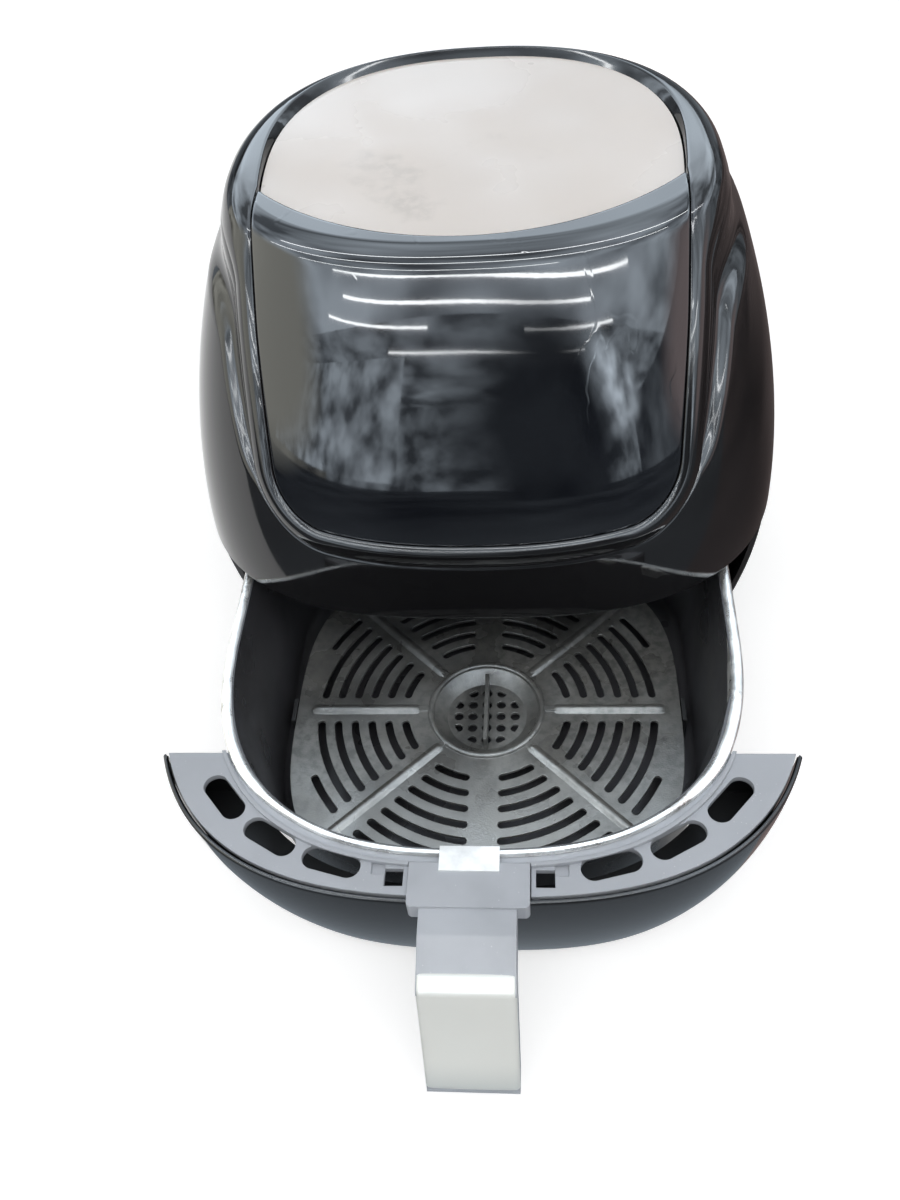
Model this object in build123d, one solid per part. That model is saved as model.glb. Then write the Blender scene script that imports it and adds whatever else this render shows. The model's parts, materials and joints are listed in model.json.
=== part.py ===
from build123d import *
import os
from math import asin, atan, copysign, cos, degrees, pi, radians, sin

os.makedirs("parts", exist_ok=True)

# Drawer-type air fryer, in millimetres, +Z up, -Y to the front.
# Everything is modelled with the drawer closed and the fan axis on the Z axis.
# The drawer is then pulled out by drawer_opening, and the whole is centred on its footprint.

# ---- travel ----
drawer_opening = 135.0      # how far the drawer stands out at rest
seat_gap = 0.3              # between pieces that lie against each other on different bodies
joint_gap = 0.4             # visible seam between mouldings
slide_gap = 0.4             # round every sliding face
fit_gap = 0.05              # between pieces of one body that are pushed together
curve_slack = 0.5           # for the small swing of a fitted curve between its points

# ---- heights from the table up ----
foot_height = 6.0
base_wall = 2.5
glide_height = 3.5
basket_depth = 85.0
rim_clearance = 3.5         # above the basket rim, under the shell
housing_height = 159.0      # from the shell's lower edge to the crest of the top ring
crest_tilt = 0.06           # rise of the crest towards the back
beyond = 200.0              # past every face of the housing or the drawer, for cutting blocks

base_floor_z = foot_height + base_wall
basket_under_z = base_floor_z + glide_height + seat_gap
rim_z = basket_under_z + basket_depth
shell_bottom_z = rim_z + rim_clearance
base_top_z = shell_bottom_z - seat_gap

# ---- housing form ----
lower_half_width = 147.5
upper_half_width = 107.0
lower_front_reach = 135.0
upper_front_reach = 73.0
lower_back_reach = 137.0
upper_back_reach = 101.0
lower_exponent = 2.8
upper_exponent = 2.3
side_power = 2.0            # how late the sides, front and back come in towards the crest
front_power = 1.6
back_power = 2.2
shell_wall = 2.6
crest_round = 4.0

# ---- lower body form, shared by the base and the drawer front ----
base_half_width = 146.0
base_back_reach = 135.0
floor_half_width = 127.0
floor_back_reach = 119.0
drawer_front_reach = 139.5
floor_front_reach = 119.0
drawer_end_y = 70.0         # the drawer front ends this far before the fan axis
lower_sides_power = 1.8     # how late the sides turn in towards the floor

# ---- bezel, lens and top panel ----
lens_half_width = 92.5
lens_foot_half_width = 90.0
lens_bottom_rise = 41.0     # lens lower edge above the shell's lower edge
lens_bottom_sag = 5.5
lens_corner = 25.0
lens_thickness = 2.4
lens_sink = 0.3
lens_ledge = 6.0
lens_overcut = 1.0          # the bezel's lens opening runs this far under the top panel's edge
bead_width = 9.0
bead_height = 1.2
bezel_back = 5.2            # inner face of the bezel below the housing skin
ring_depth = 12.0           # height of the top ring's outer face
arc_radius = 125.0          # curve between lens and top panel, seen from above
arc_front = 62.0            # its foremost point, before the fan axis
panel_half_width = 92.6
panel_front_reach = 100.0
panel_back_reach = 93.0
panel_exponent = 2.4
panel_drop = 3.5            # top panel below the crest
panel_thickness = 2.5
funnel_flare = 3.5          # the recess is this much wider at the crest
funnel_wall = 2.0
panel_ledge = 8.0

crest_z = shell_bottom_z + housing_height
panel_z = crest_z - panel_drop
panel_under_z = panel_z - panel_thickness
lens_bottom_z = shell_bottom_z + lens_bottom_rise

# ---- deck, liner and heater ----
deck_thickness = 1.5
deck_rise = 1.6             # deck underside above the shell's lower edge
seal_width = 2.0
deck_side_gap = 0.6
liner_radius = 112.0
liner_exponent = 2.63
liner_wall = 1.0
liner_flange = 9.0
liner_height = 52.0
liner_screw_y = 50.0
reflector_radius = 90.0
reflector_drop = 3.0
sheet = 0.8
element_tube = 3.5
element_radius = 74.0
element_step = 17.0
element_drop = 30.0
element_gap_angle = 16.0
clip_half_width = 3.0
guard_drop = 42.0
guard_wire = 1.3
guard_radius = 84.0
guard_step = 27.0
leg_rise = 10.0             # the element's ends stand this far above the liner
terminal_height = 6.0
terminal_wall = 3.5
tab_half_width = 3.0
tab_half_thickness = 0.4
tab_height = 9.0
clip_angles = (-30, -90, -150)
collar_bore = 8.0           # reflector collar round the shaft, beyond its radius
collar_wall = 4.0
probe_radius = 2.5
probe_gap = 7.0
probe_angle = 45.0
probe_drop = 20.0
probe_rise = 8.0
probe_flange_radius = 6.0
probe_flange = 3.0
probe_clearance = 0.7
cutout_x = -62.0
cutout_y = 42.0
cutout_radius = 8.0
cutout_height = 6.0
cutout_cap_radius = 5.0
cutout_cap_height = 4.0

deck_z = shell_bottom_z + deck_rise
deck_top_z = deck_z + deck_thickness
liner_top_z = deck_top_z + liner_height
reflector_z = liner_top_z - liner_wall - reflector_drop

# ---- motor and fans ----
shaft_radius = 3.0
running_gap = 0.05
hub_gap = 0.02
fan_radius = 51.0
fan_blade_height = 14.0
fan_blades = 8
fan_disc = 1.0
fan_top_gap = 2.0
hub_radius = 8.0
cooling_fan_radius = 42.0
cooling_fan_blades = 9
cooling_fan_height = 11.0
bracket_radius = 54.0
bracket_thickness = 2.5
bracket_rise = 26.0
bracket_post_radius = 4.0
bush_radius = 7.0
bush_length = 7.0
motor_radius = 29.0
motor_height = 32.0
motor_wall = 1.5
air_gap = 0.6
rotor_radius = 12.0
blade_half_thickness = 0.5
fan_sweep = 3.0             # blades stand this far beside the wheel's radius
cooling_fan_sweep = 2.0
cooling_fan_rise = 7.0
nut_radius = 5.5
nut_height = 5.0
shaft_low_end = 7.0         # below the fan
shaft_high_end = 4.0        # above the motor's can
core_rise = 8.0
core_drop = 9.0
vent_place = 40.0
vent_radius = 8.0
bush_stand = 2.0            # bushes stand this far out of the bracket and the can
can_lid = 3.0

bracket_z = liner_top_z + bracket_rise
bracket_top_z = bracket_z + bracket_thickness
motor_top_z = bracket_top_z + motor_height

# ---- electronics ----
board_thickness = 1.6
board_length = 96.0
board_width = 48.0
board_x = 82.0
board_rise = 22.0
board_post_radius = 3.0
display_width = 120.0
display_height = 56.0
display_z = crest_z - 72.0
display_depth = 15.0        # face of the display board behind the housing skin
carrier_depth = 30.0
carrier_thickness = 3.0
carrier_height = 26.0
carrier_post_radius = 3.0
carrier_post_x = 40.0
post_inset = 4.0
transformer_half = 15.0
transformer_y = (-40.0, -14.0)
transformer_height = 24.0
relay_x = (-10.0, 9.0)
relay_y = (0.0, 16.0)
relay_height = 15.0
capacitor_y = 34.0
capacitor_radius = 8.0
capacitor_height = 22.0

# ---- rear ----
outlet_half_width = 42.0
outlet_low = 12.0           # above the deck
outlet_height = 32.0
louvre_count = 6
louvre_height = 3.0
louvre_end = 5.0
duct_margin = 3.0           # duct inside the outlet, above and below
duct_side_margin = 4.0
inlet_x = -88.0
inlet_rise = 22.0
inlet_radius = 9.0
inlet_bore = 3.6
inlet_flange = 12.5
inlet_flange_thickness = 3.0
inlet_depth = 12.0          # gland inside the shell's wall

# ---- drawer switch, on the base's rear wall ----
switch_x = 40.0
switch_z = 66.0
switch_width = 20.0
switch_height = 12.0
plunger_radius = 2.0
plunger_travel = 2.5
plunger_tip_gap = 0.35      # to the basket when the drawer is shut
plunger_guide = 3.0         # plunger inside the switch body
switch_face_gap = 1.5
switch_bore_end = 4.0

# ---- drawer runners ----
runner_height = 3.0
runner_reach = 119.4
runner_front = 10.0
runner_rear = 80.0
rail_height = 10.0
rail_inner = 116.4
rail_rear = 95.0
rail_side_gap = 0.6
glide_x = 58.0
glide_width = 10.0
glide_front = 108.0
glide_rear = 98.0

# ---- basket ----
basket_half_width = 113.5
basket_reach = 117.0
basket_exponent = 2.63
basket_rear_corner = 56.0
basket_taper = 9.0          # how much each side comes in from rim to floor
basket_wall = 1.2
basket_floor = 1.5
basket_floor_round = 6.0
rim_width = 4.6
rim_height = 2.5
clip_width = 24.0
clip_thickness = 0.8

# ---- drawer front ----
skin_wall = 2.4
flange_thickness = 3.0
flange_drop = 3.0           # flange top below the basket rim
skin_ledge_drop = 0.6       # gloss edge below the flange
skin_floor_gap = 1.5
skirt_wall = 2.0
skirt_depth = 26.0
web_thickness = 1.6         # floor of the pockets under the slots
slot_length = 25.0
slot_width = 10.5
slot_places = (56.0, 83.0, 105.5)
slot_curve_half_width = 131.0
slot_curve_front = 127.5
slot_curve_exponent = 2.6
recess_x = 36.5
recess_y = 124.5
recess_size = 5.5
recess_depth = 1.2
window_x = 30.0
window_y = 128.5
window_size = 7.5
groove_width = 1.6

# ---- handle ----
plate_half_width = 24.0
plate_depth = 19.0
plate_gap = 0.5             # behind the plate, to the basket rim
plate_thickness = 9.0
arm_half_width = 19.0
arm_thickness = 12.0
arm_reach = 30.0            # outer bend of the grip before the plate's front
arm_fall = 9.0
grip_thickness = 13.0
grip_bottom_z = 24.0
grip_lean = 17.0
grip_round = 4.0
cover_thickness = 1.4
pad_thickness = 3.0
stem_half_width = 14.0
stem_setback = 10.0         # stem's front face behind the plate's front
stem_thickness = 6.0
stem_height = 24.0
bracket_wall = 2.0

# ---- fry tray ----
tray_pitch = 8.65           # between neighbouring slots
tray_half_width = 98.5
tray_exponent = 3.2
tray_thickness = 1.6
tray_rise = 16.0            # tray face above the basket floor
tray_skirt = 7.0
tray_slot_width = 3.9
tray_first_slot = 42.0
tray_slot_rows = 6
tray_bar_half_width = 7.1
tray_sectors = 8
corner_slot_span = 13.0
rib_angles = (0, 45, 135, 180, 225, 315)
rib_end = 8.0               # ribs between the slots end this far inside the tray's edge
rib_width = 3.0
rib_height = 1.0
tray_ring_radius = 28.5
tray_ring_thickness = 3.2
tray_well_radius = 20.5
tray_well_depth = 8.0
well_overlap = 0.6          # the well's brim reaches under the ring
well_sink = 0.4
well_lap = 3.0
tray_hole = 2.4
tray_hole_pitch = 7.3
grip_bar_thickness = 2.0
grip_bar_rise = 3.0
bumper_width = 14.0
bumper_depth = 2.6
bumper_overlap = 4.0

# ---- feet and fixings ----
foot_radius = 9.0
foot_x = 88.0
foot_y = 76.0
screw_radius = 1.6
screw_head_radius = 3.4
screw_head_height = 2.2
foot_chamfer = 1.0
foot_sink = 0.7             # screw heads stand this far below their seat's middle
foot_seat = 1.5
foot_seat_gap = 0.6
handle_screw_inset = 6.0
handle_screw_end = 1.5
handle_screw_reach = 5.0

parts = {}
body_of = {}


def add(name, shape, body="housing"):
    parts[name] = shape
    body_of[name] = body


def superellipse(half_width, front, back, exponent, z=0.0, tilt=0.0, count=20):
    """Closed curve |x/half_width|^n + |y/reach|^n = 1, with its own reach to the front and back."""
    points = []
    for i in range(count):
        angle = 2 * pi * i / count
        c = cos(angle)
        s = sin(angle)
        reach = back if s > 0 else front
        x = half_width * copysign(abs(c) ** (2 / exponent), c)
        y = reach * copysign(abs(s) ** (2 / exponent), s)
        points.append((x, y, z + tilt * y))
    return Wire([Edge.make_spline([Vector(*p) for p in points], periodic=True)])


def plate_of(wire, thickness):
    """A flat plate that stands on the wire's plane."""
    return Solid.extrude(Face(wire), Vector(0, 0, thickness))


def block(x0, x1, y0, y1, z0, z1):
    return Pos((x0 + x1) / 2, (y0 + y1) / 2, (z0 + z1) / 2) * Box(x1 - x0, y1 - y0, z1 - z0)


def rod(x, y, z0, z1, radius):
    return Pos(x, y, (z0 + z1) / 2) * Cylinder(radius, z1 - z0)


def tube(x, y, z0, z1, radius, bore):
    return rod(x, y, z0, z1, radius) - rod(x, y, z0 - 1, z1 + 1, bore)


def solids(shapes):
    """Several separate solids as one node."""
    return Compound(children=[s for shape in shapes for s in shape.solids()])


# ---- shared forms ----
def housing_section(level, inset):
    """Housing outline at a level from 0, the lower edge, to 1, the crest."""
    up = max(level, 0.0)
    half_width = lower_half_width - (lower_half_width - upper_half_width) * up ** side_power - inset
    front = lower_front_reach - (lower_front_reach - upper_front_reach) * up ** front_power - inset
    back = lower_back_reach - (lower_back_reach - upper_back_reach) * up ** back_power - inset
    exponent = lower_exponent + (upper_exponent - lower_exponent) * up
    z = shell_bottom_z + (housing_height - inset) * level
    return superellipse(half_width, front, back, exponent, z, crest_tilt * up ** 3)


def housing_outline(z, inset):
    """Housing outline at a height, moved in by inset."""
    return housing_section((z - shell_bottom_z) / (housing_height - inset), inset)


def housing_form(inset, low=0.0, high=1.0, steps=4):
    levels = [low + (high - low) * i / steps for i in range(steps + 1)]
    return Solid.make_loft([housing_section(level, inset) for level in levels])


def lower_section(level, inset, front_top, front_floor):
    """Outline of base and drawer at a level from 0, the underside, to 1, the base's upper edge."""
    turn = max(1 - level, 0.0) ** lower_sides_power
    half_width = base_half_width - (base_half_width - floor_half_width) * turn - inset
    back = base_back_reach - (base_back_reach - floor_back_reach) * turn - inset
    front = front_top - (front_top - front_floor) * turn - inset
    z = foot_height + (base_top_z - foot_height) * level
    return superellipse(half_width, front, back, lower_exponent, z)


def lower_form(inset, low=0.0, high=1.0, steps=3):
    levels = [low + (high - low) * i / steps for i in range(steps + 1)]
    sections = [lower_section(level, inset, drawer_front_reach, floor_front_reach) for level in levels]
    return Solid.make_loft(sections)


def lower_level(z):
    return (z - foot_height) / (base_top_z - foot_height)


def window_prism(grow):
    """The lens outline seen from the front, carried through the front half of the housing."""
    half_top = lens_half_width + grow
    half_foot = lens_foot_half_width + grow
    low = lens_bottom_z - grow
    top = crest_z + 40
    bottom = ThreePointArc((-half_foot, low + lens_bottom_sag), (0, low), (half_foot, low + lens_bottom_sag))
    shoulder = lens_bottom_z + housing_height / 2
    sides = Polyline((half_foot, low + lens_bottom_sag), (half_top, shoulder), (half_top, top),
                     (-half_top, top), (-half_top, shoulder), (-half_foot, low + lens_bottom_sag))
    face = make_face(Curve() + [bottom, sides])
    corners = face.vertices().sort_by(Axis.Y)[:2]
    face = fillet(corners, lens_corner + grow)
    return extrude(Plane.XZ * face, lower_front_reach + 60)


def arc_column(grow):
    """Upright column whose front face is the curve between lens and top panel."""
    return rod(0, arc_radius - arc_front, panel_z - 60, crest_z + 60, arc_radius + grow)


def panel_outline(side, front, z):
    """Outline of the top panel: an oval cut short in front by the lens arc.

    side moves the oval outwards, and front moves the arc outwards.
    """
    half = panel_half_width + side
    ahead = panel_front_reach + side
    behind = panel_back_reach + side
    radius = arc_radius + front
    centre_y = arc_radius - arc_front

    def oval_point(angle):
        c = cos(angle)
        s = sin(angle)
        reach = behind if s > 0 else ahead
        return (half * copysign(abs(c) ** (2 / panel_exponent), c),
                reach * copysign(abs(s) ** (2 / panel_exponent), s))

    low = -pi / 2
    high = 0.0
    for _ in range(40):
        angle = (low + high) / 2
        x, y = oval_point(angle)
        if (x ** 2 + (y - centre_y) ** 2) ** 0.5 > radius:
            low = angle
        else:
            high = angle
    count = 17
    points = []
    for i in range(count):
        x, y = oval_point(high + (pi - 2 * high) * i / (count - 1))
        points.append(Vector(x, y, z))
    back = Edge.make_spline(points)
    arc = Edge.make_three_point_arc(points[-1], Vector(0, centre_y - radius, z), points[0])
    return Wire([back, arc])


def with_crest(shape):
    """A shape made level, turned into the tilt of the crest."""
    return Pos(0, 0, crest_z) * Rot(degrees(atan(crest_tilt)), 0, 0) * Pos(0, 0, -crest_z) * shape


def recess_form(side, front, low_z, high_z):
    """Funnel-shaped recess of the top panel between two heights, before it is tilted."""
    slope = funnel_flare / panel_drop
    low_side = side + joint_gap + slope * (low_z - panel_z)
    high_side = side + joint_gap + slope * (high_z - panel_z)
    sections = [panel_outline(low_side, front, low_z), panel_outline(high_side, front, high_z)]
    return Solid.make_loft(sections, ruled=True)


def above_crest_plane(drop):
    """Everything above the tilted plane that lies drop under the crest."""
    size = 500
    tilted = Rot(degrees(atan(crest_tilt)), 0, 0) * (Pos(0, 0, size / 2) * Box(size, size, size))
    return Pos(0, 0, crest_z - drop) * tilted


# ---- housing ----
def make_outer_shell():
    wall = housing_form(0) - housing_form(shell_wall, -0.02, 1.04)
    wall = wall - window_prism(bead_width + joint_gap) - above_crest_plane(ring_depth + joint_gap)
    outlet_low_z = deck_top_z + outlet_low
    outlet_high_z = outlet_low_z + outlet_height
    wall = wall - block(-outlet_half_width, outlet_half_width, 0, beyond, outlet_low_z, outlet_high_z)
    wall = wall - Pos(inlet_x, 0, deck_top_z + inlet_rise) * Rot(-90, 0, 0) * Pos(0, 0, beyond / 2) * Cylinder(
        inlet_radius + seat_gap, beyond)
    return wall.solids().sort_by(SortBy.VOLUME)[-1]


def make_front_bezel():
    """Raised band round the lens, in one moulding with the ring round the top panel."""
    band = housing_form(-bead_height) - housing_form(bezel_back, -0.02, 1.0)
    zone = window_prism(bead_width) + above_crest_plane(ring_depth)
    bezel = band & zone
    bezel = bezel - with_crest(recess_form(0, 0, panel_under_z, crest_z + 20))
    bezel = bezel - (window_prism(0) - arc_column(-lens_overcut))
    return bezel.solids().sort_by(SortBy.VOLUME)[-1]


def make_lens_frame():
    """Inner frame that the lens is stuck to, just inside the bezel."""
    layer = housing_form(lens_sink + lens_thickness + seat_gap) - housing_form(bezel_back)
    frame = layer & (window_prism(-joint_gap) - window_prism(-lens_ledge))
    frame = frame - arc_column(joint_gap)
    return frame.solids().sort_by(SortBy.VOLUME)[-1]


def make_lid_recess():
    """Tub under the top panel, with a ledge that carries it."""
    low_z = panel_under_z - funnel_wall
    high_z = crest_z + 10
    tub = recess_form(funnel_wall, funnel_wall, low_z, high_z)
    tub = tub - recess_form(0, joint_gap, panel_under_z, high_z + 1)
    hole = panel_outline(-panel_ledge, -panel_ledge, low_z - 1)
    tub = tub - plate_of(hole, funnel_wall + 2)
    return with_crest(tub) - above_crest_plane(bezel_back + seat_gap)


def make_front_lens():
    outer = housing_form(lens_sink)
    crest = outer.faces().sort_by(Axis.Z)[-1]
    outer = outer.fillet(crest_round, crest.edges())
    skin = outer - housing_form(lens_sink + lens_thickness)
    lens = (skin & window_prism(-joint_gap)) - arc_column(joint_gap)
    return lens.solids().sort_by(SortBy.VOLUME)[-1]


def make_top_panel():
    return with_crest(recess_form(-joint_gap, -joint_gap, panel_under_z, panel_z))


def make_rear_outlet():
    """Louvred outlet that fills the opening in the shell's back."""
    low_z = deck_top_z + outlet_low + joint_gap
    high_z = deck_top_z + outlet_low + outlet_height - joint_gap
    half = outlet_half_width - joint_gap
    grille = housing_form(0) - housing_form(shell_wall)
    grille = grille & block(-half, half, 0, beyond, low_z, high_z)
    pitch = (high_z - low_z) / louvre_count
    for i in range(louvre_count):
        z = low_z + pitch * (i + 0.5)
        slot = block(-half + louvre_end, half - louvre_end, beyond / 4, beyond,
                     z - louvre_height / 2, z + louvre_height / 2)
        grille = grille - slot
    return grille


def make_exhaust_duct():
    """Square tube from the liner's opening to the outlet's inner face."""
    low_z = deck_top_z + outlet_low + duct_margin
    high_z = deck_top_z + outlet_low + outlet_height - duct_margin
    half = outlet_half_width - duct_side_margin
    outer = block(-half, half, liner_radius / 2, lower_back_reach, low_z, high_z)
    inner = block(-half + sheet, half - sheet, 0, lower_back_reach + 1, low_z + sheet, high_z - sheet)
    duct = (outer - inner) & housing_form(shell_wall + seat_gap)
    return duct - plate_of(liner_outline(seat_gap, shell_bottom_z), liner_height * 2)


def make_cord_inlet():
    """Flanged gland for the mains lead, in the back of the shell."""
    place = Pos(inlet_x, 0, deck_top_z + inlet_rise) * Rot(-90, 0, 0)
    length = lower_back_reach
    core = place * Pos(0, 0, length / 2) * Cylinder(inlet_radius, length)
    bore = place * Pos(0, 0, length / 2) * Cylinder(inlet_bore, length * 2)
    rim = place * Pos(0, 0, length / 2) * Cylinder(inlet_flange, length)
    outer = housing_form(-inlet_flange_thickness) - housing_form(-seat_gap)
    inner = housing_form(-inlet_flange_thickness) - housing_form(shell_wall + inlet_depth)
    return (rim & outer) + (core & inner) - bore


def make_housing():
    add("outer_shell", make_outer_shell())
    add("front_bezel", make_front_bezel())
    add("front_lens", make_front_lens())
    add("lens_frame", make_lens_frame())
    add("lid_recess", make_lid_recess())
    add("top_panel", make_top_panel())
    add("rear_outlet", make_rear_outlet())
    add("exhaust_duct", make_exhaust_duct())
    add("cord_inlet", make_cord_inlet())


# ---- base ----
def make_base():
    low = lower_level(base_floor_z)
    pan = lower_form(0) - lower_form(base_wall, low, 1.02)
    pan = pan - block(-beyond, beyond, -beyond, -drawer_end_y + joint_gap, base_floor_z, base_top_z + 1)
    add("base_pan", pan)

    seal_inset = shell_wall + deck_side_gap
    seal_height = deck_z - base_top_z
    seal = plate_of(housing_outline(base_top_z, seal_inset), seal_height)
    seal = seal - plate_of(housing_outline(base_top_z, seal_inset + seal_width), seal_height)
    seal = seal - block(-beyond, beyond, -beyond, -drawer_end_y + joint_gap, base_top_z - 1, deck_z + 1)
    add("deck_seal", seal)

    inside = lower_form(base_wall + 0.1, low, 1.0)
    rail_top = rim_z - rim_height - slide_gap
    slot_mid = rail_top - rail_height / 2
    slot_half = runner_height / 2 + slide_gap
    bar = block(rail_inner, lower_half_width, -drawer_end_y + 1, rail_rear, rail_top - rail_height, rail_top)
    slot_end = runner_reach + rail_side_gap
    bar = bar - block(0, slot_end, -beyond, beyond, slot_mid - slot_half, slot_mid + slot_half)
    add("right_rail", bar & inside)
    add("left_rail", mirror(bar, Plane.YZ) & inside)

    strips = []
    feet = []
    screws = []
    for x in (-glide_x, glide_x):
        strips.append(block(x - glide_width / 2, x + glide_width / 2, -glide_front, glide_rear,
                            base_floor_z, base_floor_z + glide_height))
    for x in (-foot_x, foot_x):
        for y in (-foot_y, foot_y):
            foot = rod(x, y, 0, foot_height, foot_radius)
            foot = chamfer(foot.edges().sort_by(Axis.Z)[0], foot_chamfer)
            socket = rod(x, y, -1, screw_head_height + foot_seat, screw_head_radius + foot_seat_gap)
            feet.append(foot - socket - rod(x, y, 0, foot_height + 1, screw_radius + running_gap))
            head = rod(x, y, screw_head_height - foot_sink, screw_head_height + foot_seat, screw_head_radius)
            screws.append(head + rod(x, y, screw_head_height, foot_height, screw_radius))
    add("basket_glides", solids(strips))
    add("rubber_feet", solids(feet))
    add("foot_screws", solids(screws))


# ---- deck, liner, heater ----
def liner_outline(grow, z):
    radius = liner_radius + grow
    return superellipse(radius, radius, radius, liner_exponent, z)


def make_hot_chamber():
    deck = plate_of(housing_outline(deck_z, shell_wall + deck_side_gap), deck_thickness)
    deck = deck - plate_of(liner_outline(seat_gap, deck_z - 1), deck_thickness + 2)

    shell = plate_of(liner_outline(0, deck_z), liner_top_z - deck_z)
    shell = shell - plate_of(liner_outline(-liner_wall, deck_z - 1), liner_top_z - deck_z + 1 - liner_wall)
    flange = plate_of(liner_outline(liner_flange, deck_top_z), liner_wall)
    flange = flange - plate_of(liner_outline(-liner_wall / 2, deck_top_z - 1), liner_wall + 2)
    liner = shell + flange
    vent_low = deck_top_z + outlet_low + duct_margin + sheet
    vent_high = deck_top_z + outlet_low + outlet_height - duct_margin - sheet
    vent_half = outlet_half_width - duct_side_margin - sheet
    liner = liner - block(-vent_half, vent_half, liner_radius - 12, liner_radius + 5, vent_low, vent_high)
    liner = liner - rod(0, 0, liner_top_z - 5, liner_top_z + 1, shaft_radius + 3)

    reflector = rod(0, 0, reflector_z, reflector_z + sheet, reflector_radius)
    bore = shaft_radius + collar_bore
    collar = tube(0, 0, reflector_z, liner_top_z - liner_wall, bore + collar_wall, bore)
    reflector = (reflector + collar) - rod(0, 0, reflector_z - 1, reflector_z + 2, bore)

    screws = []
    top = deck_top_z + liner_wall
    for sx in (-1, 1):
        for y in (-liner_screw_y, 0, liner_screw_y):
            ratio = (1 - (abs(y) / liner_radius) ** liner_exponent) ** (1 / liner_exponent)
            x = sx * (liner_radius * ratio + liner_flange / 2)
            hole = rod(x, y, deck_z - 1, top + 1, screw_radius + running_gap)
            deck = deck - hole
            liner = liner - hole
            screws.append(rod(x, y, top, top + screw_head_height, screw_head_radius) + rod(
                x, y, deck_z, top, screw_radius))

    element_z = liner_top_z - element_drop
    inner_radius = element_radius - element_step
    half_gap = element_gap_angle / 2
    element = Rot(0, 0, 90 + half_gap) * Torus(element_radius, element_tube, major_angle=360 - 2 * half_gap)
    coil = Rot(0, 0, 90 + half_gap) * Torus(inner_radius, element_tube, major_angle=360 - 2 * half_gap)
    element = Pos(0, 0, element_z) * (element + coil)
    link_angle = radians(90 - half_gap)
    leg_angle = radians(90 + half_gap)
    link_place = Pos(0, 0, element_z) * Rot(0, 0, degrees(link_angle)) * Pos(
        (element_radius + inner_radius) / 2, 0, 0) * Rot(0, 90, 0)
    element = element + link_place * Cylinder(element_tube, element_step)
    leg_top = liner_top_z + leg_rise
    collars = []
    for radius in (inner_radius, element_radius):
        end = Pos(radius * cos(link_angle), radius * sin(link_angle), element_z)
        element = element + end * Sphere(element_tube)
        x = radius * cos(leg_angle)
        y = radius * sin(leg_angle)
        element = element + Pos(x, y, element_z) * Sphere(element_tube)
        element = element + rod(x, y, element_z, leg_top, element_tube)
        hole = rod(x, y, reflector_z - 1, liner_top_z + 1, element_tube + seat_gap)
        liner = liner - hole
        reflector = reflector - hole
        collars.append(tube(x, y, liner_top_z, liner_top_z + terminal_height, element_tube + terminal_wall,
                            element_tube + running_gap))
        collars.append(block(x - tab_half_width, x + tab_half_width, y - tab_half_thickness,
                             y + tab_half_thickness, leg_top, leg_top + tab_height))

    clips = []
    clip_x = element_radius + element_tube + seat_gap
    clip_z = element_z - element_tube - seat_gap
    for angle in clip_angles:
        strap = block(clip_x, clip_x + sheet, -clip_half_width, clip_half_width,
                      clip_z - sheet, reflector_z)
        shelf = block(element_radius - element_tube, clip_x + sheet, -clip_half_width, clip_half_width,
                      clip_z - sheet, clip_z)
        clips.append(Rot(0, 0, angle) * (strap + shelf))

    wires = []
    guard_z = liner_top_z - guard_drop
    for radius in (guard_radius, guard_radius - guard_step, guard_radius - 2 * guard_step):
        wires.append(Pos(0, 0, guard_z) * Torus(radius, guard_wire))
    span = 2 * (liner_radius - liner_wall - 0.2)
    guard = wires[0] + wires[1] + wires[2]
    guard = guard + Pos(0, 0, guard_z) * Rot(0, 90, 0) * Cylinder(guard_wire, span)
    guard = guard + Pos(0, 0, guard_z) * Rot(90, 0, 0) * Cylinder(guard_wire, span)

    probe_r = element_radius + element_tube + probe_gap
    px = -probe_r * cos(radians(probe_angle))
    py = -probe_r * sin(radians(probe_angle))
    probe = rod(px, py, liner_top_z - probe_drop, liner_top_z + probe_rise, probe_radius)
    probe = probe + rod(px, py, liner_top_z, liner_top_z + probe_flange, probe_flange_radius)
    probe_hole = rod(px, py, reflector_z - 1, liner_top_z + 1, probe_radius + running_gap)
    liner = liner - probe_hole
    wide = probe_radius + probe_clearance
    reflector = reflector - rod(px, py, reflector_z - 1, liner_top_z - liner_wall, wide)
    cap_z = liner_top_z + cutout_height
    cutout = rod(cutout_x, cutout_y, liner_top_z, cap_z, cutout_radius)
    cutout = cutout + rod(cutout_x, cutout_y, cap_z, cap_z + cutout_cap_height, cutout_cap_radius)

    add("cavity_deck", deck)
    add("cavity_liner", liner)
    add("heat_reflector", reflector)
    add("liner_screws", solids(screws))
    add("heating_element", element)
    add("element_terminals", solids(collars))
    add("element_clips", solids(clips))
    add("element_guard", guard)
    add("temperature_probe", probe)
    add("thermal_cutout", cutout)


# ---- motor and fans ----
def fan_wheel(radius, blades, disc_low, disc_high, blade_low, blade_high, sweep):
    wheel = rod(0, 0, min(disc_low, blade_low), max(disc_high, blade_high), hub_radius)
    wheel = wheel + rod(0, 0, disc_low, disc_high, radius)
    half = blade_half_thickness
    for i in range(blades):
        blade = block(hub_radius - 2, radius - 1, -half, half, blade_low, blade_high)
        wheel = wheel + Rot(0, 0, 360 * i / blades) * (Pos(0, sweep, 0) * blade)
    return wheel - rod(0, 0, blade_low - 30, blade_high + 30, shaft_radius + hub_gap)


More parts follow.
